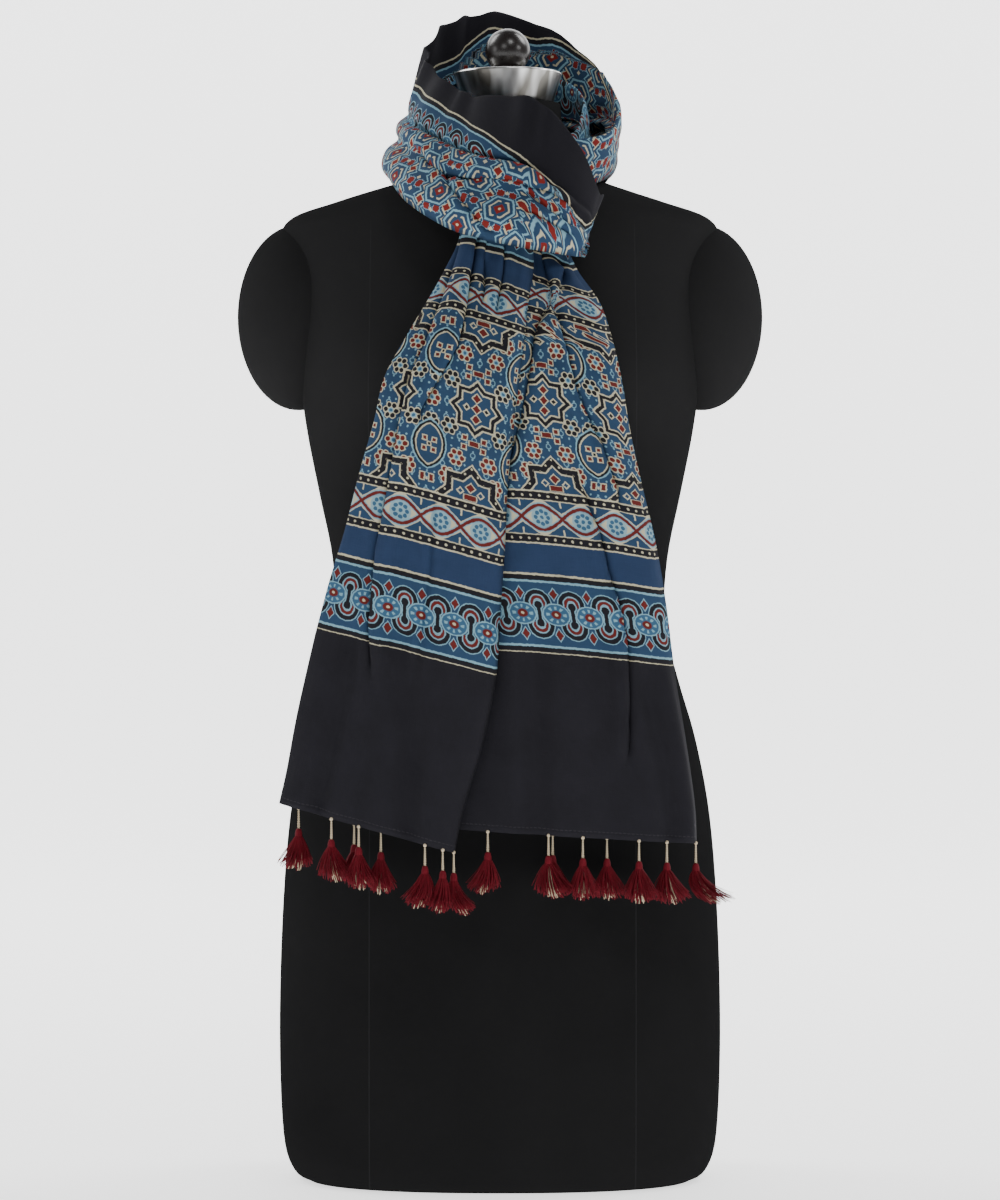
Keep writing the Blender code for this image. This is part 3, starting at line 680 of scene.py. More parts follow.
class Feed:
    """A value in a material that Python's own signs work on."""

    def __init__(self, finish, socket):
        self.finish, self.socket = finish, socket

    def math(self, operation, *others, clamp=False):
        settings = {"operation": operation, "use_clamp": clamp}
        return self.finish.node("ShaderNodeMath", settings, self, *others)

    def __add__(self, other):
        return self.math("ADD", other)

    def __sub__(self, other):
        return self.math("SUBTRACT", other)

    def __rsub__(self, other):
        return self.finish.node("ShaderNodeMath", {"operation": "SUBTRACT"}, other, self)

    def __mul__(self, other):
        return self.math("MULTIPLY", other)

    def __abs__(self):
        return self.math("ABSOLUTE")

    __radd__, __rmul__ = __add__, __mul__

    def hypot(self, other):
        return other.math("MULTIPLY_ADD", other, self * self).math("SQRT")

    def wrapped(self, period):
        return self.math("WRAP", period / 2, -period / 2)

    def over(self, edge):
        """1 where this value is over the edge, with a sharp change."""
        return self.math("GREATER_THAN", edge)

    def below(self, edge, soft=0.4):
        """1 where this value is under the edge, with a soft change."""
        return self.math("MULTIPLY_ADD", -1 / soft, 0.5 + edge / soft, clamp=True)

    def above(self, edge, soft=0.4):
        return self.math("MULTIPLY_ADD", 1 / soft, 0.5 - edge / soft, clamp=True)

    def near(self, middle, half, soft=0.4):
        return abs(self - middle).below(half, soft)

    def least(self, other):
        return self.math("MINIMUM", other)

    def most(self, other):
        return self.math("MAXIMUM", other)

    def split(self):
        kind = "ShaderNodeSeparateXYZ"
        first = self.finish.node(kind, None, self)
        return [Feed(self.finish, socket) for socket in first.socket.node.outputs]


class Finish:
    """One material and the nodes in it."""

    def __init__(self, name, colour, roughness, metallic=0.0, **more):
        self.material = bpy.data.materials.new(name)
        self.material.use_nodes = True
        self.tree = self.material.node_tree
        self.shader = self.tree.nodes["Principled BSDF"]
        self.set(Base_Color=(*colour, 1.0), Roughness=roughness, Metallic=metallic, **more)

    def set(self, **values):
        for name, value in values.items():
            self.feed(self.shader.inputs[name.replace("_", " ")], value)

    def feed(self, socket, value):
        if isinstance(value, Feed):
            self.tree.links.new(value.socket, socket)
        elif value is not None:
            socket.default_value = value

    def node(self, kind, settings=None, *values, out=0, **named):
        made = self.tree.nodes.new(kind)
        for key, value in (settings or {}).items():
            setattr(made, key, value)
        for index, value in enumerate(values):
            self.feed(made.inputs[index], value)
        for key, value in named.items():
            self.feed(made.inputs[key.replace("_", " ")], value)
        return Feed(self, made.outputs[out])

    def mix(self, share, first, second, blend_type="MIX"):
        settings = {"data_type": "RGBA", "blend_type": blend_type}
        full = [value if isinstance(value, Feed) else (*value, 1.0) for value in (first, second)]
        return self.node("ShaderNodeMix", settings, share, *[None] * 5, *full, out=2)

    def vector(self, operation, *values):
        return self.node("ShaderNodeVectorMath", {"operation": operation}, *values)

    def noise(self, place, scale, detail=2.0, out=0, **more):
        kind = "ShaderNodeTexNoise"
        return self.node(kind, None, out=out, Vector=place, Scale=scale, Detail=detail, **more)

    def object_place(self):
        return self.node("ShaderNodeTexCoord", None, out=3)

    def bump(self, height, strength, distance):
        named = {"Strength": strength, "Distance": distance, "Height": height}
        self.set(Normal=self.node("ShaderNodeBump", None, **named))


class Ink:
    """A colour that prints are laid over, one after another."""

    def __init__(self, finish, ground):
        self.finish, self.colour = finish, ground

    def lay(self, mask, colour):
        self.colour = self.finish.mix(mask, self.colour, colour)

    def edged(self, distance, size, colour, line, edge=0.8):
        """A filled shape with a line round it."""
        self.lay(distance.below(size + edge), line)
        self.lay(distance.below(size), colour)


# The print. All its measures are in mm on the flat cloth.

INDIGO = (0.019, 0.036, 0.080)
FIELD_BLUE = (0.021, 0.048, 0.095)
MID_BLUE = (0.035, 0.095, 0.165)
PALE_BLUE = (0.180, 0.330, 0.400)
CREAM = (0.450, 0.415, 0.290)
MADDER = (0.110, 0.016, 0.014)
BRIGHT_MADDER = (0.170, 0.017, 0.014)
IRON_BLACK = (0.012, 0.0115, 0.015)

END_MIDDLE = 323.5
CHAIN_IN_END = 158.5
CHAIN_IN_SIDE = 76.0
CHAIN_HALF = 23.0
BORDER_LINES = 29.8
PLAIN_HEM = 136.0
FIELD_START = 511.0
DOTTED_AWAY = 16.0
WAVE_MIDDLE = 87.0
WAVE_HALF = 12.5
WAVE_PITCH = 30.0
FIELD_HALF = 67.5
STAR_PITCH = 66.0
CHAIN_PITCH = 25.0


def petals(across, along, count, reach):
    """Distance from the nearest of `count` petals, and from their middle."""
    turn = along.math("ARCTAN2", across).wrapped(2 * math.pi / count)
    away = across.hypot(along)
    out = away * turn.math("COSINE") - reach
    return out.hypot(away * turn.math("SINE")), away


def chain_band(finish, along, across):
    """Ovals with black dumbbells and arches between them."""
    ink = Ink(finish, FIELD_BLUE)
    x, y = abs(along.wrapped(CHAIN_PITCH)), abs(across)
    gap = CHAIN_PITCH / 2 - x
    arch = gap.hypot(y - 8.0)
    over_waist = y.above(6.0)
    for middle, half, colour in ((8.1, 1.6, IRON_BLACK), (4.4, 1.2, MADDER)):
        ring = abs(arch - middle)
        ink.lay(ring.below(half + 0.7) * over_waist, PALE_BLUE)
        ink.lay(ring.below(half) * over_waist, colour)
    end = gap.hypot(y - 6.6)
    for grow, colour in ((0.9, PALE_BLUE), (0.0, IRON_BLACK)):
        waist = gap.below(1.4 + grow) * y.below(6.6)
        ink.lay(end.below(2.9 + grow).most(waist), colour)
    oval = (x * (1 / 10.4)).hypot(y * (1 / 8.3))
    ink.lay(oval.below(1.0, 0.05), PALE_BLUE)
    ink.lay(oval.below(0.9, 0.05), MID_BLUE)
    turn = y.math("ARCTAN2", x)
    ticks = (turn * 8.0).math("COSINE").above(0.3, 0.5) * oval.near(0.60, 0.13, 0.08)
    ink.lay(ticks, PALE_BLUE)
    ink.lay(oval.below(0.36, 0.06), MADDER)
    ink.lay(oval.below(0.12, 0.06), CREAM)
    bud = x * 1.45 + abs(y - 15.0)
    ink.edged(bud, 4.2, MADDER, PALE_BLUE, 1.1)
    return ink.colour


def wave_band(finish, along, across):
    """Two crossing madder waves with a daisy in each eye."""
    ink = Ink(finish, CREAM)
    crossing, y = abs(along.wrapped(WAVE_PITCH)), abs(across)
    wave = (along * (math.pi / WAVE_PITCH)).math("SINE")
    rise = abs(wave) * 8.7
    wedge = crossing * 0.70 - y
    ink.lay(wedge.below(-3.9), FIELD_BLUE)
    tick = crossing.below(0.6) * y.above(8.0)
    ink.lay(tick, CREAM)
    ink.lay(abs(y - rise).below(2.5), PALE_BLUE)
    ink.lay(abs(y - rise).below(1.5), MADDER)
    petal, away = petals((along - WAVE_PITCH / 2).wrapped(WAVE_PITCH), across, 8, 4.6)
    ink.lay(away.below(7.8, 0.8) * 0.85, PALE_BLUE)
    ink.lay(petal.below(1.55), MID_BLUE)
    ink.lay(away.below(1.4), MID_BLUE)
    return ink.colour


def dotted_band(finish, along, across):
    ink = Ink(finish, CREAM)
    ink.lay(abs(across).below(2.7), IRON_BLACK)
    dot = along.wrapped(6.4).hypot(across)
    ink.lay(dot.below(0.95), CREAM)
    return ink.colour


def star_field(finish, along, y):
    """Stars, florets and leaf medallions of the two end panels."""
    ink = Ink(finish, FIELD_BLUE)
    x = abs(along.wrapped(STAR_PITCH))
    edge = STAR_PITCH / 2 - x
    curl = abs(along.wrapped(11.0).hypot(y.wrapped(11.25)) - 1.7)
    ink.lay(curl.below(0.35) * 0.8, PALE_BLUE)
    speck = along.wrapped(5.5).hypot((y - 2.8).wrapped(5.625))
    ink.lay(speck.below(0.75) * 0.85, PALE_BLUE)
    high, top, beside = y.over(27.5), y.over(46.0), x.over(26.5)
    lifted = y.over(9.0)
    middle_x = 19.0 + high * -7.0 + top * 6.0
    middle_y = 17.0 + high * 21.0 + top * 14.5
    middle_x = middle_x + (33.0 - middle_x) * beside
    middle_y = middle_y + (lifted * 17.0 - middle_y) * beside
    red = high + (1.0 - lifted - high) * beside
    petal, away = petals(x - middle_x, y - middle_y, 6, 4.1)
    ink.lay(petal.below(2.5), CREAM)
    ink.lay(petal.below(1.75), finish.mix(red, IRON_BLACK, MADDER))
    ink.lay(away.below(2.0), PALE_BLUE)
    ink.lay(away.below(1.2), MID_BLUE)

    # Leaf medallions between the stars
    leaf = (edge + 6.0).hypot(y - 34.0)
    for size, colour in ((19.2, PALE_BLUE), (18.2, IRON_BLACK), (16.5, CREAM), (15.5, FIELD_BLUE)):
        ink.lay(leaf.below(size), colour)
    square = abs(edge - 3.6).most(abs(abs(y - 34.0) - 3.6))
    ink.edged(square, 1.2, MADDER, CREAM, 0.9)
    ink.edged(edge.most(abs(y - 34.0)), 0.9, IRON_BLACK, CREAM)
    spray = edge.hypot(y - 59.0)
    ink.edged(abs(edge - 3.4).most(abs(y - 58.0) - 1.0), 1.4, MADDER, CREAM)
    ink.lay(spray.below(1.0), CREAM)

    # The eight-pointed star
    star = x.most(y).least((x + y) * 0.7071)
    for size, colour in ((14.9, CREAM), (13.7, IRON_BLACK), (11.3, CREAM), (10.2, FIELD_BLUE)):
        ink.lay(star.below(size), colour)
    stacked = x + abs(y - y.over(3.8) * 7.6)
    ink.edged(stacked, 3.0, MADDER, CREAM, 1.1)
    ink.edged(abs(x - 7.4) + y, 1.6, IRON_BLACK, CREAM, 1.3)
    bar = x.most(abs(y - 25.5) * 2.0)
    ink.edged(bar, 3.4, MADDER, CREAM)
    quad = abs(x - 7.2).most(abs(abs(y - 25.5) - 3.4))
    ink.edged(quad, 1.5, MADDER, CREAM)

    # Half-stars on the field's edges
    low = FIELD_HALF - y
    half = x.most(low).least((x + low) * 0.7071)
    ink.lay(half.below(19.4), CREAM)
    ink.lay(half.below(18.4), IRON_BLACK)
    dots = x.wrapped(4.8).hypot(low.wrapped(4.8)).below(0.8)
    ink.lay(dots * half.near(16.4, 1.4), CREAM)
    ink.lay(half.below(14.3), CREAM)
    ink.lay(half.below(13.2), FIELD_BLUE)
    ink.edged(x + abs(low - 10.0), 3.2, MADDER, CREAM, 1.1)
    ink.edged(abs(x - 7.6) + abs(low - 6.5), 1.8, FIELD_BLUE, CREAM, 1.3)
    ink.edged(x.most(abs(low - 3.0) * 2.4), 4.4, MADDER, CREAM)
    return ink.colour


def zigzag_field(finish, along, down):
    """The stole's middle: hexagons with hooks in them, zigzags and madder lozenges."""
    ink = Ink(finish, FIELD_BLUE)
    x, y = abs(along.wrapped(44.0)), abs(down.wrapped(50.0))
    far_x, far_y = 22.0 - x, 25.0 - y

    # Zigzags between the rows of hexagons, with lozenges above and below them
    step = abs(along.wrapped(8.8))
    for shift, size in ((12.5, 1.0), (8.2, 0.7), (16.8, 0.7)):
        zigzag = abs(y - shift - 2.2 + step)
        ink.lay(zigzag.below(size), PALE_BLUE if size < 1 else CREAM)
    block = abs(along.wrapped(14.7)) * 0.9
    for height in (4.6, 20.4):
        lozenge = (block + abs(y - height)).least(block.most(abs(y - height)) * 1.3)
        ink.edged(lozenge, 3.4, BRIGHT_MADDER, PALE_BLUE, 0.6)

    for across, up, sense in ((x, y, 1.0), (far_x, far_y, -1.0)):
        hexagon = across.most(across * 0.5 + up * 0.866)
        ink.lay(hexagon.below(12.2), FIELD_BLUE)
        ink.lay(abs(hexagon - 10.4).below(0.75), PALE_BLUE)
        hook = abs(hexagon - 6.6).below(0.7) * (up - across * 0.4).above(-1.2)
        ink.lay(hook, CREAM)
        ink.lay((across + up).below(4.6), BRIGHT_MADDER)
        ink.lay(across.hypot(up).below(1.1), CREAM)
    corner = abs(x - 11.0) + abs(y - 12.5)
    ink.edged(corner, 3.4, BRIGHT_MADDER, CREAM, 0.7)
    ink.lay((abs(x - 16.6) + y).below(2.0), CREAM)
    ink.lay((abs(x - 5.4) + far_y).below(2.0), CREAM)
    return ink.colour


def print_finish():
    """Madder, indigo, iron black and resist cream on cotton, with its weave."""
    finish = Finish("ajrakh_print", INDIGO, 0.85, Specular_IOR_Level=0.12)
    flat = finish.node("ShaderNodeUVMap", {"uv_map": "flat_cloth"})
    wander = finish.noise(flat, 420.0, 2.0, out=1)
    place = finish.vector("MULTIPLY_ADD", wander, (0.0013, 0.0013, 0.0), flat)
    u, w, _ = finish.vector("SCALE", place, None, None, 1000.0).split()

    from_edge = STOLE_WIDTH / 2 - abs(u - STOLE_WIDTH / 2)
    from_middle = abs(w - END_MIDDLE)
    side = 1.0 - from_edge.over(SIDE_BORDER)
    along = u + (w - u) * side
    across = from_middle - CHAIN_IN_END
    across = across + (from_edge - CHAIN_IN_SIDE - across) * side

    colour = Ink(finish, INDIGO)
    colour.lay(from_middle.below(FIELD_HALF + 1), star_field(finish, u - STAR_SHIFT, from_middle))
    past_field = w.above(FIELD_START)
    colour.lay(past_field, zigzag_field(finish, u, w))
    wave = from_middle - WAVE_MIDDLE
    dotted = abs(wave) - DOTTED_AWAY
    colour.lay(abs(dotted).below(3.9), dotted_band(finish, u, dotted))
    colour.lay(abs(wave).below(WAVE_HALF), wave_band(finish, u, wave))
    band = abs(across)
    colour.lay(band.below(BORDER_LINES), CREAM)
    colour.lay(band.below(28.3), IRON_BLACK)
    colour.lay(band.below(24.6), PALE_BLUE)
    colour.lay(band.below(CHAIN_HALF), chain_band(finish, along, across))
    black = from_edge.below(CHAIN_IN_SIDE - BORDER_LINES).most(w.below(PLAIN_HEM))
    colour.lay(black, IRON_BLACK)

    stitch = w.near(5.5, 0.35) * abs(u.wrapped(3.2)).below(1.1)
    colour.lay(stitch * 0.6, (0.035, 0.033, 0.038))
    rolled = w.below(5.0, 1.2)

    wear = finish.noise(flat, 38.0, 4.0)
    slubs = finish.noise(finish.vector("MULTIPLY", flat, (1800.0, 90.0, 0.0)), 1.0, 1.0)
    picks = finish.noise(finish.vector("MULTIPLY", flat, (90.0, 1800.0, 0.0)), 1.0, 1.0)
    tone = 0.62 + wear * 0.42 + (slubs + picks) * 0.17
    tone = finish.node("ShaderNodeCombineXYZ", None, tone, tone, tone)
    finish.set(Base_Color=finish.mix(1.0, colour.colour, tone, "MULTIPLY"))
    finish.bump(slubs + picks + (rolled - stitch) * 0.8, 0.3, 0.0005)
    return finish.material


# The form and its fittings


def add_piece(name, builder, material, node):
    """Makes a piece of the scene from a bmesh, in place of a CAD node."""
    bmesh.ops.recalc_face_normals(builder, faces=builder.faces)
    mesh = bpy.data.meshes.new(name)
    builder.to_mesh(mesh)
    builder.free()
    mesh.materials.append(material)
    piece = bpy.data.objects.new(name, mesh)
    piece.data.shade_smooth()
    bpy.context.scene.collection.objects.link(piece)
    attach(piece, "root")
    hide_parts(node)
    return piece


def form_ring(section):
    """Places round one level of the form, bust included."""
    height, half_width, front, back = section
    turns = np.linspace(0, 2 * math.pi, FORM_SIDES, endpoint=False)
    side, ahead = np.sin(turns), -np.cos(turns)
    power = 2.0 / FORM_SQUARENESS
    x = np.sign(side) * np.abs(side) ** power * half_width
    y = np.sign(ahead) * np.abs(ahead) ** power * np.where(ahead < 0, front, back)
    for breast in (-BUST_SIDE, BUST_SIDE):
        spread = ((x - breast) / BUST_WIDTH) ** 2 + ((height - BUST_HEIGHT) / BUST_TALL) ** 2
        y -= BUST_REACH * np.exp(-spread) * np.clip(-2 * ahead, 0, 1)
    x += NECK_X * np.clip((height - 763) / 30, 0, 1)
    return np.stack((x, y, np.full(len(x), height)), axis=-1)


def laid_grid(points):
    """A closed-up grid of faces through these rows of points."""
    tall, wide = points.shape[:2]
    builder = bmesh.new()
    bmesh.ops.create_grid(builder, x_segments=wide - 1, y_segments=tall - 1, size=0.5)
    for vert in builder.verts:
        column, row = (round((place + 0.5) * (count - 1)) for place, count in zip(vert.co, (wide, tall)))
        vert.co = points[row, column] * MM
    bmesh.ops.remove_doubles(builder, verts=builder.verts, dist=1e-6)
    return builder


def add_form(material):
    steps = stepped((FORM_STEPS,) * (len(FORM_SECTIONS) - 1))
    levels = through(np.array(FORM_SECTIONS, float), steps)
    rings = np.stack([form_ring(level) for level in levels])
    trunk = laid_grid(np.concatenate((rings, rings[:, :1]), axis=1))
    rims = [edge for edge in trunk.edges if edge.is_boundary]
    for edge in rims:
        edge.smooth = False
    bmesh.ops.holes_fill(trunk, edges=rims, sides=0)
    add_piece("form_trunk", trunk, material, "dress_form")
    for name, side in (("left", -1), ("right", 1)):
        stub = bmesh.new()
        bmesh.ops.create_uvsphere(stub, u_segments=64, v_segments=40, radius=MM)
        bmesh.ops.scale(stub, verts=stub.verts, vec=STUB_SIZE)
        centre = Vector((STUB_CENTRE[0] * side, *STUB_CENTRE[1:])) * MM
        bmesh.ops.translate(stub, verts=stub.verts, vec=centre)
        add_piece(f"form_arm_stub_{name}", stub, material, "dress_form")


def form_finish():
    """Charcoal satin jersey with two faint seams down the front and back, and its colour painted lighter from the
    chest up as a painted highlight.
    """
    finish = Finish("form_cover", (0.012, 0.012, 0.0125), 0.5, Specular_IOR_Level=0.0)
    place = finish.object_place()
    x, y, z = place.split()
    seam = abs(abs(x - 0.002) - 0.1007).below(0.0004, 0.0004) * z.below(0.735, 0.01)
    knit = finish.noise(place, 1100.0, 1.0)
    cloud = finish.noise(place, 7.0, 3.0)
    # Painted highlight: the colour turns lighter above about 0.54 m, over the chest and shoulders, where the light
    # falls.
    painted_chest_light = z.above(0.54, 0.16)
    tone = cloud * 0.5 + painted_chest_light * 0.5
    colour = finish.mix(tone, (0.0078, 0.0078, 0.0081), (0.0210, 0.0210, 0.0214))
    finish.set(Base_Color=finish.mix(seam * 0.35, colour, (0.030, 0.030, 0.031)), Roughness=0.44 + cloud * 0.14)
    finish.bump(knit * 0.35 - seam * 0.5, 0.25, 0.0004)
    return finish.material


def steel_finish():
    """Polished steel with the fine upright marks of its buffing, and upright light and dark bars painted into its
    colour as painted reflections.
    """
    finish = Finish("ring_steel", (0.74, 0.74, 0.75), 0.16, 1.0)
    place = finish.object_place()
    brushed = finish.noise(finish.vector("MULTIPLY", place, (260.0, 260.0, 14.0)), 1.0, 2.0)
    smears = finish.noise(place, 70.0, 3.0)
    # Painted reflections: upright noise bars mix the colour between dark and bright steel.
    painted_reflection_bars = finish.noise(finish.vector("MULTIPLY", place, (95.0, 95.0, 1.5)), 1.0, 1.0)
    painted_reflection_share = (painted_reflection_bars - 0.36) * 3.4
    colour = finish.mix(painted_reflection_share, (0.20, 0.19, 0.17), (0.95, 0.95, 0.94))
    finish.set(Base_Color=colour, Roughness=0.22 + brushed * 0.12 + smears * 0.10)
    finish.bump(brushed, 0.05, 0.0003)
    return finish.material


def lacquer_finish():
    """Black lacquer, worn dull on top."""
    finish = Finish("knob_lacquer", (0.008, 0.007, 0.007), 0.3, Specular_IOR_Level=0.6)
    smears = finish.noise(finish.object_place(), 60.0, 3.0)
    brown = finish.noise(finish.object_place(), 26.0, 2.0)
    colour = finish.mix(brown, (0.006, 0.0055, 0.0055), (0.016, 0.010, 0.008))
    finish.set(Base_Color=colour, Roughness=0.20 + smears * 0.16)
    return finish.material


# Tassels


def thread_finish(name, colour, deep):
    """Loose cotton thread, lighter and darker from strand to strand."""
    finish = Finish(name, colour, 0.75, Specular_IOR_Level=0.15)
    place = finish.object_place()
    strand = finish.noise(finish.vector("MULTIPLY", place, (900.0, 900.0, 60.0)), 1.0, 2.0)
    finish.set(Base_Color=finish.mix(strand, deep, colour))
    finish.bump(strand, 0.3, 0.0003)
    return finish.material


def drawn_along(builder, faces, thread, path, slim):
    """Draws small faces out into threads, each along its own path."""
    for step in range(1, len(path)):
        faces = bmesh.ops.extrude_discrete_faces(builder, faces=faces)["faces"]
        for face in faces:
            number = face[thread]
            middle = face.calc_center_median()
            goal = Vector(path[step][number]) * MM
            for vert in face.verts:
                vert.co = goal + (vert.co - middle) * slim
    return faces


def seed_faces(builder, thread, starts, size, material):
    """One small three-sided face at the start of each thread."""
    faces = []
    for number, start in enumerate(starts):
        verts = []
        for corner in range(3):
            turn = 2 * math.pi * corner / 3 + number
            offset = Vector((math.cos(turn), math.sin(turn), 0.0)) * size
            verts.append(builder.verts.new((Vector(start) + offset) * MM))
        face = builder.faces.new(verts[::-1])
        face[thread] = number
        face.material_index = material
        faces.append(face)
    return faces


def tassel_cord(builder, top, foot):
    """A cream cord of two plies laid round each other."""
    turns, steps, sides = 4.5, 30, 6
    for ply in range(2):
        rings = []
        for step in range(steps + 1):
            share = step / steps
            turn = 2 * math.pi * turns * share + math.pi * ply
            slim = CORD_RADIUS * (0.55 + 0.45 * share)
            centre = top.lerp(foot, share) + Vector((math.cos(turn), math.sin(turn), 0)) * slim * 0.55
            ring = bmesh.ops.create_circle(
                builder, segments=sides, radius=slim * 0.55 * MM, cap_ends=step in (0, steps)
            )
            bmesh.ops.translate(builder, verts=ring["verts"], vec=centre * MM)
            rings.append({edge for vert in ring["verts"] for edge in vert.link_edges})
        for upper, lower in zip(rings, rings[1:]):
            bmesh.ops.bridge_loops(builder, edges=list(upper | lower))
    knot = bmesh.ops.create_uvsphere(builder, u_segments=10, v_segments=7, radius=CORD_RADIUS * 1.25 * MM)
    bmesh.ops.translate(builder, verts=knot["verts"], vec=(top - Vector((0, 0, 1.0))) * MM)


def tassel_head(builder, top):
    """The wrapped head: thread wound round the top of the skirt."""
    before = set(builder.faces)
    profile = [(0.6, 0.6)]
    for wind in range(7):
        share = (wind + 0.5) / 7
        radius = HEAD_RADIUS * (0.62 + 0.38 * math.sin(math.pi * min(share * 0.62, 1.0)))
        profile += [(radius * 0.90, -HEAD_HEIGHT * (share - 0.06)), (radius, -HEAD_HEIGHT * share)]
    profile.append((HEAD_RADIUS * 0.75, -HEAD_HEIGHT))
    verts = [builder.verts.new(Vector((top.x + x, top.y, top.z + z)) * MM) for x, z in profile]
    edges = [builder.edges.new(pair) for pair in zip(verts, verts[1:])]
    bmesh.ops.spin(
        builder, geom=verts + edges, cent=top * MM, axis=(0, 0, 1), angle=2 * math.pi, steps=18, use_merge=True
    )
    for face in set(builder.faces) - before:
        face.material_index = 1


def tassel_skirt(builder, foot, swing, width, chance):
    """Threads that hang and spread from under the head, some of them cream."""
    thread = builder.faces.layers.int.new("thread")
    groups = ((THREADS, 1, 0.0, 1.0, 0.42), (CREAM_THREADS, 0, 0.0, 0.35, 0.40))
    for count, material, inner, outer, size in groups:
        lanes = []
        for _ in range(count):
            turn = chance.uniform(0, 2 * math.pi)
            reach = chance.uniform(inner, 1.0) ** 0.5 * outer
            lanes.append((turn, reach, chance.uniform(0.80, 1.04), chance.uniform(-1, 1), chance.uniform(-1, 1)))
        path = []
        for step in range(SKIRT_STEPS + 1):
            share = step / SKIRT_STEPS
            spread = share ** 0.85
            points = []
            for turn, reach, long, sway, curl in lanes:
                across = HEAD_RADIUS * 0.7 * reach + (width - HEAD_RADIUS * 0.7) * reach * spread
                deep = HEAD_RADIUS * 0.7 * reach + (width * 0.6 - HEAD_RADIUS * 0.7) * reach * spread
                bend = 1.1 * math.sin(share * 5.0 + curl * 3.0) * share
                points.append(
                    (
                        foot.x + swing.x * share * share + across * math.cos(turn) + sway * bend,
                        foot.y + swing.y * share * share + deep * math.sin(turn) + curl * bend * 0.6,
                        foot.z + 1.0 - (SKIRT_LENGTH * long * (1 - 0.22 * reach * reach * share) + 1.0) * share,
                    )
                )
            path.append(points)
        faces = seed_faces(builder, thread, path[0], size, material)
        drawn_along(builder, faces, thread, path, 0.97)


def add_tassels(cloth, across):
    """One fine tassel in place of each of the part's."""
    cream = thread_finish("cream_cord", (0.66, 0.56, 0.40), (0.42, 0.34, 0.22))
    crimson = thread_finish("tassel_crimson", (0.175, 0.007, 0.016), (0.070, 0.003, 0.007))
    chance = random.Random(16)
    for side, rows in TASSELS.items():
        hem = cloth[0 if side == "left" else -1]
        for number, (place, right, forward, width) in enumerate(rows, start=1):
            top = Vector([float(np.interp(place, across, hem[:, axis])) for axis in range(3)])
            head_top = top - Vector((0, 0, HEM_GAP + CORD_LENGTH))
            foot = head_top - Vector((0, 0, HEAD_HEIGHT))
            builder = bmesh.new()
            tassel_cord(builder, top + Vector((0, 0, 1.0)), head_top + Vector((0, 0, 0.2)))
            tassel_head(builder, head_top)
            swing = Vector((right * 1.5 + chance.uniform(-4, 4), -forward + chance.uniform(-2, 1), 0))
            tassel_skirt(builder, foot, swing, width * chance.uniform(*FAN), chance)
            name = f"tassel_{side}_{number}"
            tassel = add_piece(f"thread_{name}", builder, cream, name)
            tassel.data.materials.append(crimson)


# Stage, lights and camera


def add_stage():
    """A floor that curves up into a plain pale backdrop."""
    builder = bmesh.new()
    turn_radius, back, width, tall = 1.5, 3.0, 16.0, 7.0
    points = [(-6.0, 0.0), (back, 0.0)]
    for step in range(1, 13):
        turn = math.pi / 2 * step / 12
        points.append((back + turn_radius * math.sin(turn), turn_radius * (1 - math.cos(turn))))
    points.append((back + turn_radius, tall))
    verts = [builder.verts.new((-width / 2, y, z)) for y, z in points]
    edges = [builder.edges.new(pair) for pair in zip(verts, verts[1:])]
    made = bmesh.ops.extrude_edge_only(builder, edges=edges)["geom"]
    moved = [item for item in made if isinstance(item, bmesh.types.BMVert)]
    bmesh.ops.translate(builder, verts=moved, vec=(width, 0, 0))
    bmesh.ops.recalc_face_normals(builder, faces=builder.faces)
    mesh = bpy.data.meshes.new("studio")
    builder.to_mesh(mesh)
    builder.free()
    white = Finish("studio_white", (0.85, 0.85, 0.85), 0.9, Emission_Color=(1, 1, 1, 1), Emission_Strength=STUDIO_GLOW)
    mesh.materials.append(white.material)
    studio = bpy.data.objects.new("studio", mesh)
    studio.data.shade_smooth()
    bpy.context.scene.collection.objects.link(studio)


STUDIO_GLOW = 1.35
AIR_LIGHT = 0.14

# Lamps: place, what it points at, size, power in watts
LAMPS = {
    "front_softbox": ((-1.2, -3.4, 2.1), (0, 0, 0.5), 1.2, 14.0),
    "side_softbox": ((2.6, -1.6, 1.6), (0, 0, 0.5), 0.8, 13.0),
    "top_softbox": ((0.5, -1.5, 2.3), (0, 0, 0.75), 0.6, 9.0),
    "left_strip": ((-2.4, -0.9, 1.2), (0, 0, 0.5), 0.8, 7.0),
    "backdrop_wash_left": ((-2.6, 1.2, 3.4), (-0.6, 4.2, 0.8), 2.2, 170.0),
    "backdrop_wash_right": ((2.6, 1.2, 3.4), (0.6, 4.2, 0.8), 2.2, 170.0),
}


def add_lamps():
    for name, (place, target, size, power) in LAMPS.items():
        data = bpy.data.lights.new(name, "AREA")
        data.shape, data.size, data.energy = "SQUARE", size, power
        lamp = bpy.data.objects.new(name, data)
        lamp.location = place
        aim = Vector(target) - Vector(place)
        lamp.rotation_euler = aim.to_track_quat("-Z", "Y").to_euler()
        bpy.context.scene.collection.objects.link(lamp)
    world = bpy.data.worlds.new("studio_air")
    world.use_nodes = True
    world.node_tree.nodes["Background"].inputs[0].default_value = (0.9, 0.93, 1.0, 1.0)
    world.node_tree.nodes["Background"].inputs[1].default_value = AIR_LIGHT
    bpy.context.scene.world = world


def add_camera():
    data = bpy.data.cameras.new("camera")
    data.sensor_width = 36.0
    data.lens = 36.0 * CAMERA_DISTANCE / FRAME_HEIGHT
    camera = bpy.data.objects.new("camera", data)
    camera.location = (FRAME_CENTRE[0], CAMERA_PLANE - CAMERA_DISTANCE, FRAME_CENTRE[1])
    camera.rotation_euler = (math.pi / 2, 0, 0)
    bpy.context.scene.collection.objects.link(camera)
    bpy.context.scene.camera = camera


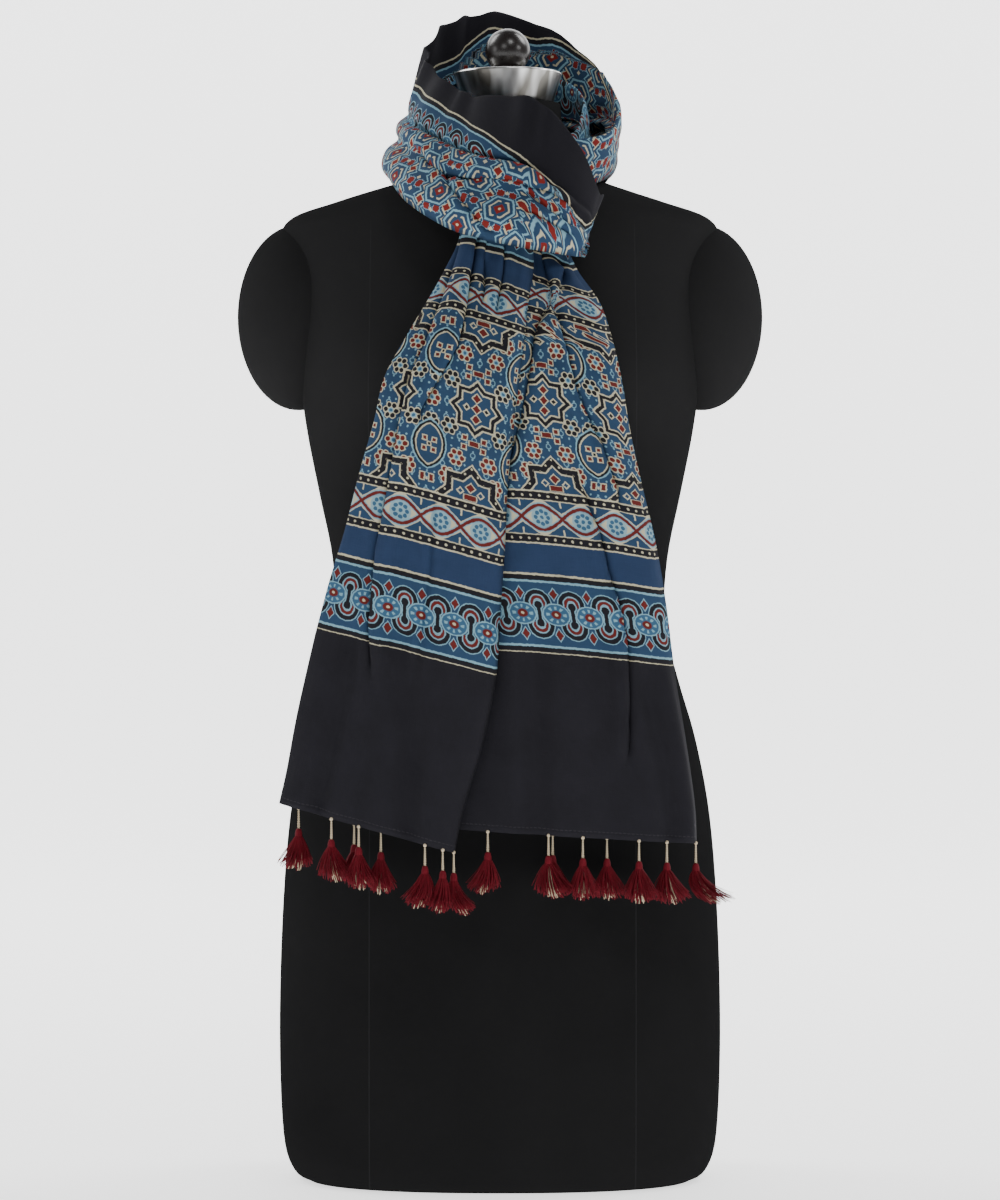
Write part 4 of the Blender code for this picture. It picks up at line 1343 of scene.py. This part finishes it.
def add_turned(name, profile, steps, material, node):
    """A piece turned about the neck's axis from (radius, height) pairs, with its hard rims kept."""
    builder = bmesh.new()
    verts = [builder.verts.new(((NECK_X + radius) * MM, 0.0, height * MM)) for radius, height in profile]
    edges = [builder.edges.new(pair) for pair in zip(verts, verts[1:])]
    middle, full = (NECK_X * MM, 0, 0), 2 * math.pi
    bmesh.ops.spin(
        builder, geom=verts + edges, cent=middle, axis=(0, 0, 1), angle=full, steps=steps, use_merge=True
    )
    bmesh.ops.remove_doubles(builder, verts=builder.verts, dist=1e-5)
    bmesh.ops.recalc_face_normals(builder, faces=builder.faces)
    for edge in builder.edges:
        edge.smooth = edge.is_boundary or edge.calc_face_angle() < math.radians(38)
    return add_piece(name, builder, material, node)


def add_neck_fittings():
    """The steel ring with its rolled rim, and the knob on its foot."""
    foot, top = RING_FOOT + 0.3, RING_TOP
    ring = [(0.0, foot), (34.0, foot), (35.0, foot + 0.6), (35.4, foot + 1.4)]
    ring += [(41.6, top - 2.2), (42.0, top - 1.4), (41.6, top - 0.5), (40.6, top)]
    ring += [(39.4, top - 0.4), (38.6, top - 0.6), (0.0, top - 0.6)]
    add_turned("ring_turned", ring, 96, steel_finish(), "neck_ring")
    foot = RING_TOP + 0.3
    knob = [(0.0, foot), (16.0, foot), (15.4, foot + 0.9), (14.2, foot + 1.9), (12.8, foot + 2.9), (12.1, foot + 4.0)]
    waist = -math.acos(12.0 / KNOB_RADIUS)
    for step in range(1, 25):
        turn = blend(waist, math.pi / 2, step / 24)
        knob.append((KNOB_RADIUS * math.cos(turn), KNOB_CENTRE + KNOB_RADIUS * math.sin(turn)))
    knob[-1] = (0.0, KNOB_CENTRE + KNOB_RADIUS)
    add_turned("knob_turned", knob, 56, lacquer_finish(), "knob")


def add_stole():
    points, even, across, along = stole_grid()
    mesh = grid_mesh("printed_stole", points, *print_places(even, across, along))
    mesh.materials.append(print_finish())
    stole = bpy.data.objects.new("printed_stole", mesh)
    bpy.context.scene.collection.objects.link(stole)
    solid = stole.modifiers.new("thickness", "SOLIDIFY")
    solid.thickness = CLOTH_THICKNESS * MM
    solid.offset = 0.0
    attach(stole, "root")
    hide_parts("stole")
    return points, across


def main():
    add_camera()
    add_stage()
    add_lamps()
    add_tassels(*add_stole())
    add_form(form_finish())
    add_neck_fittings()


main()
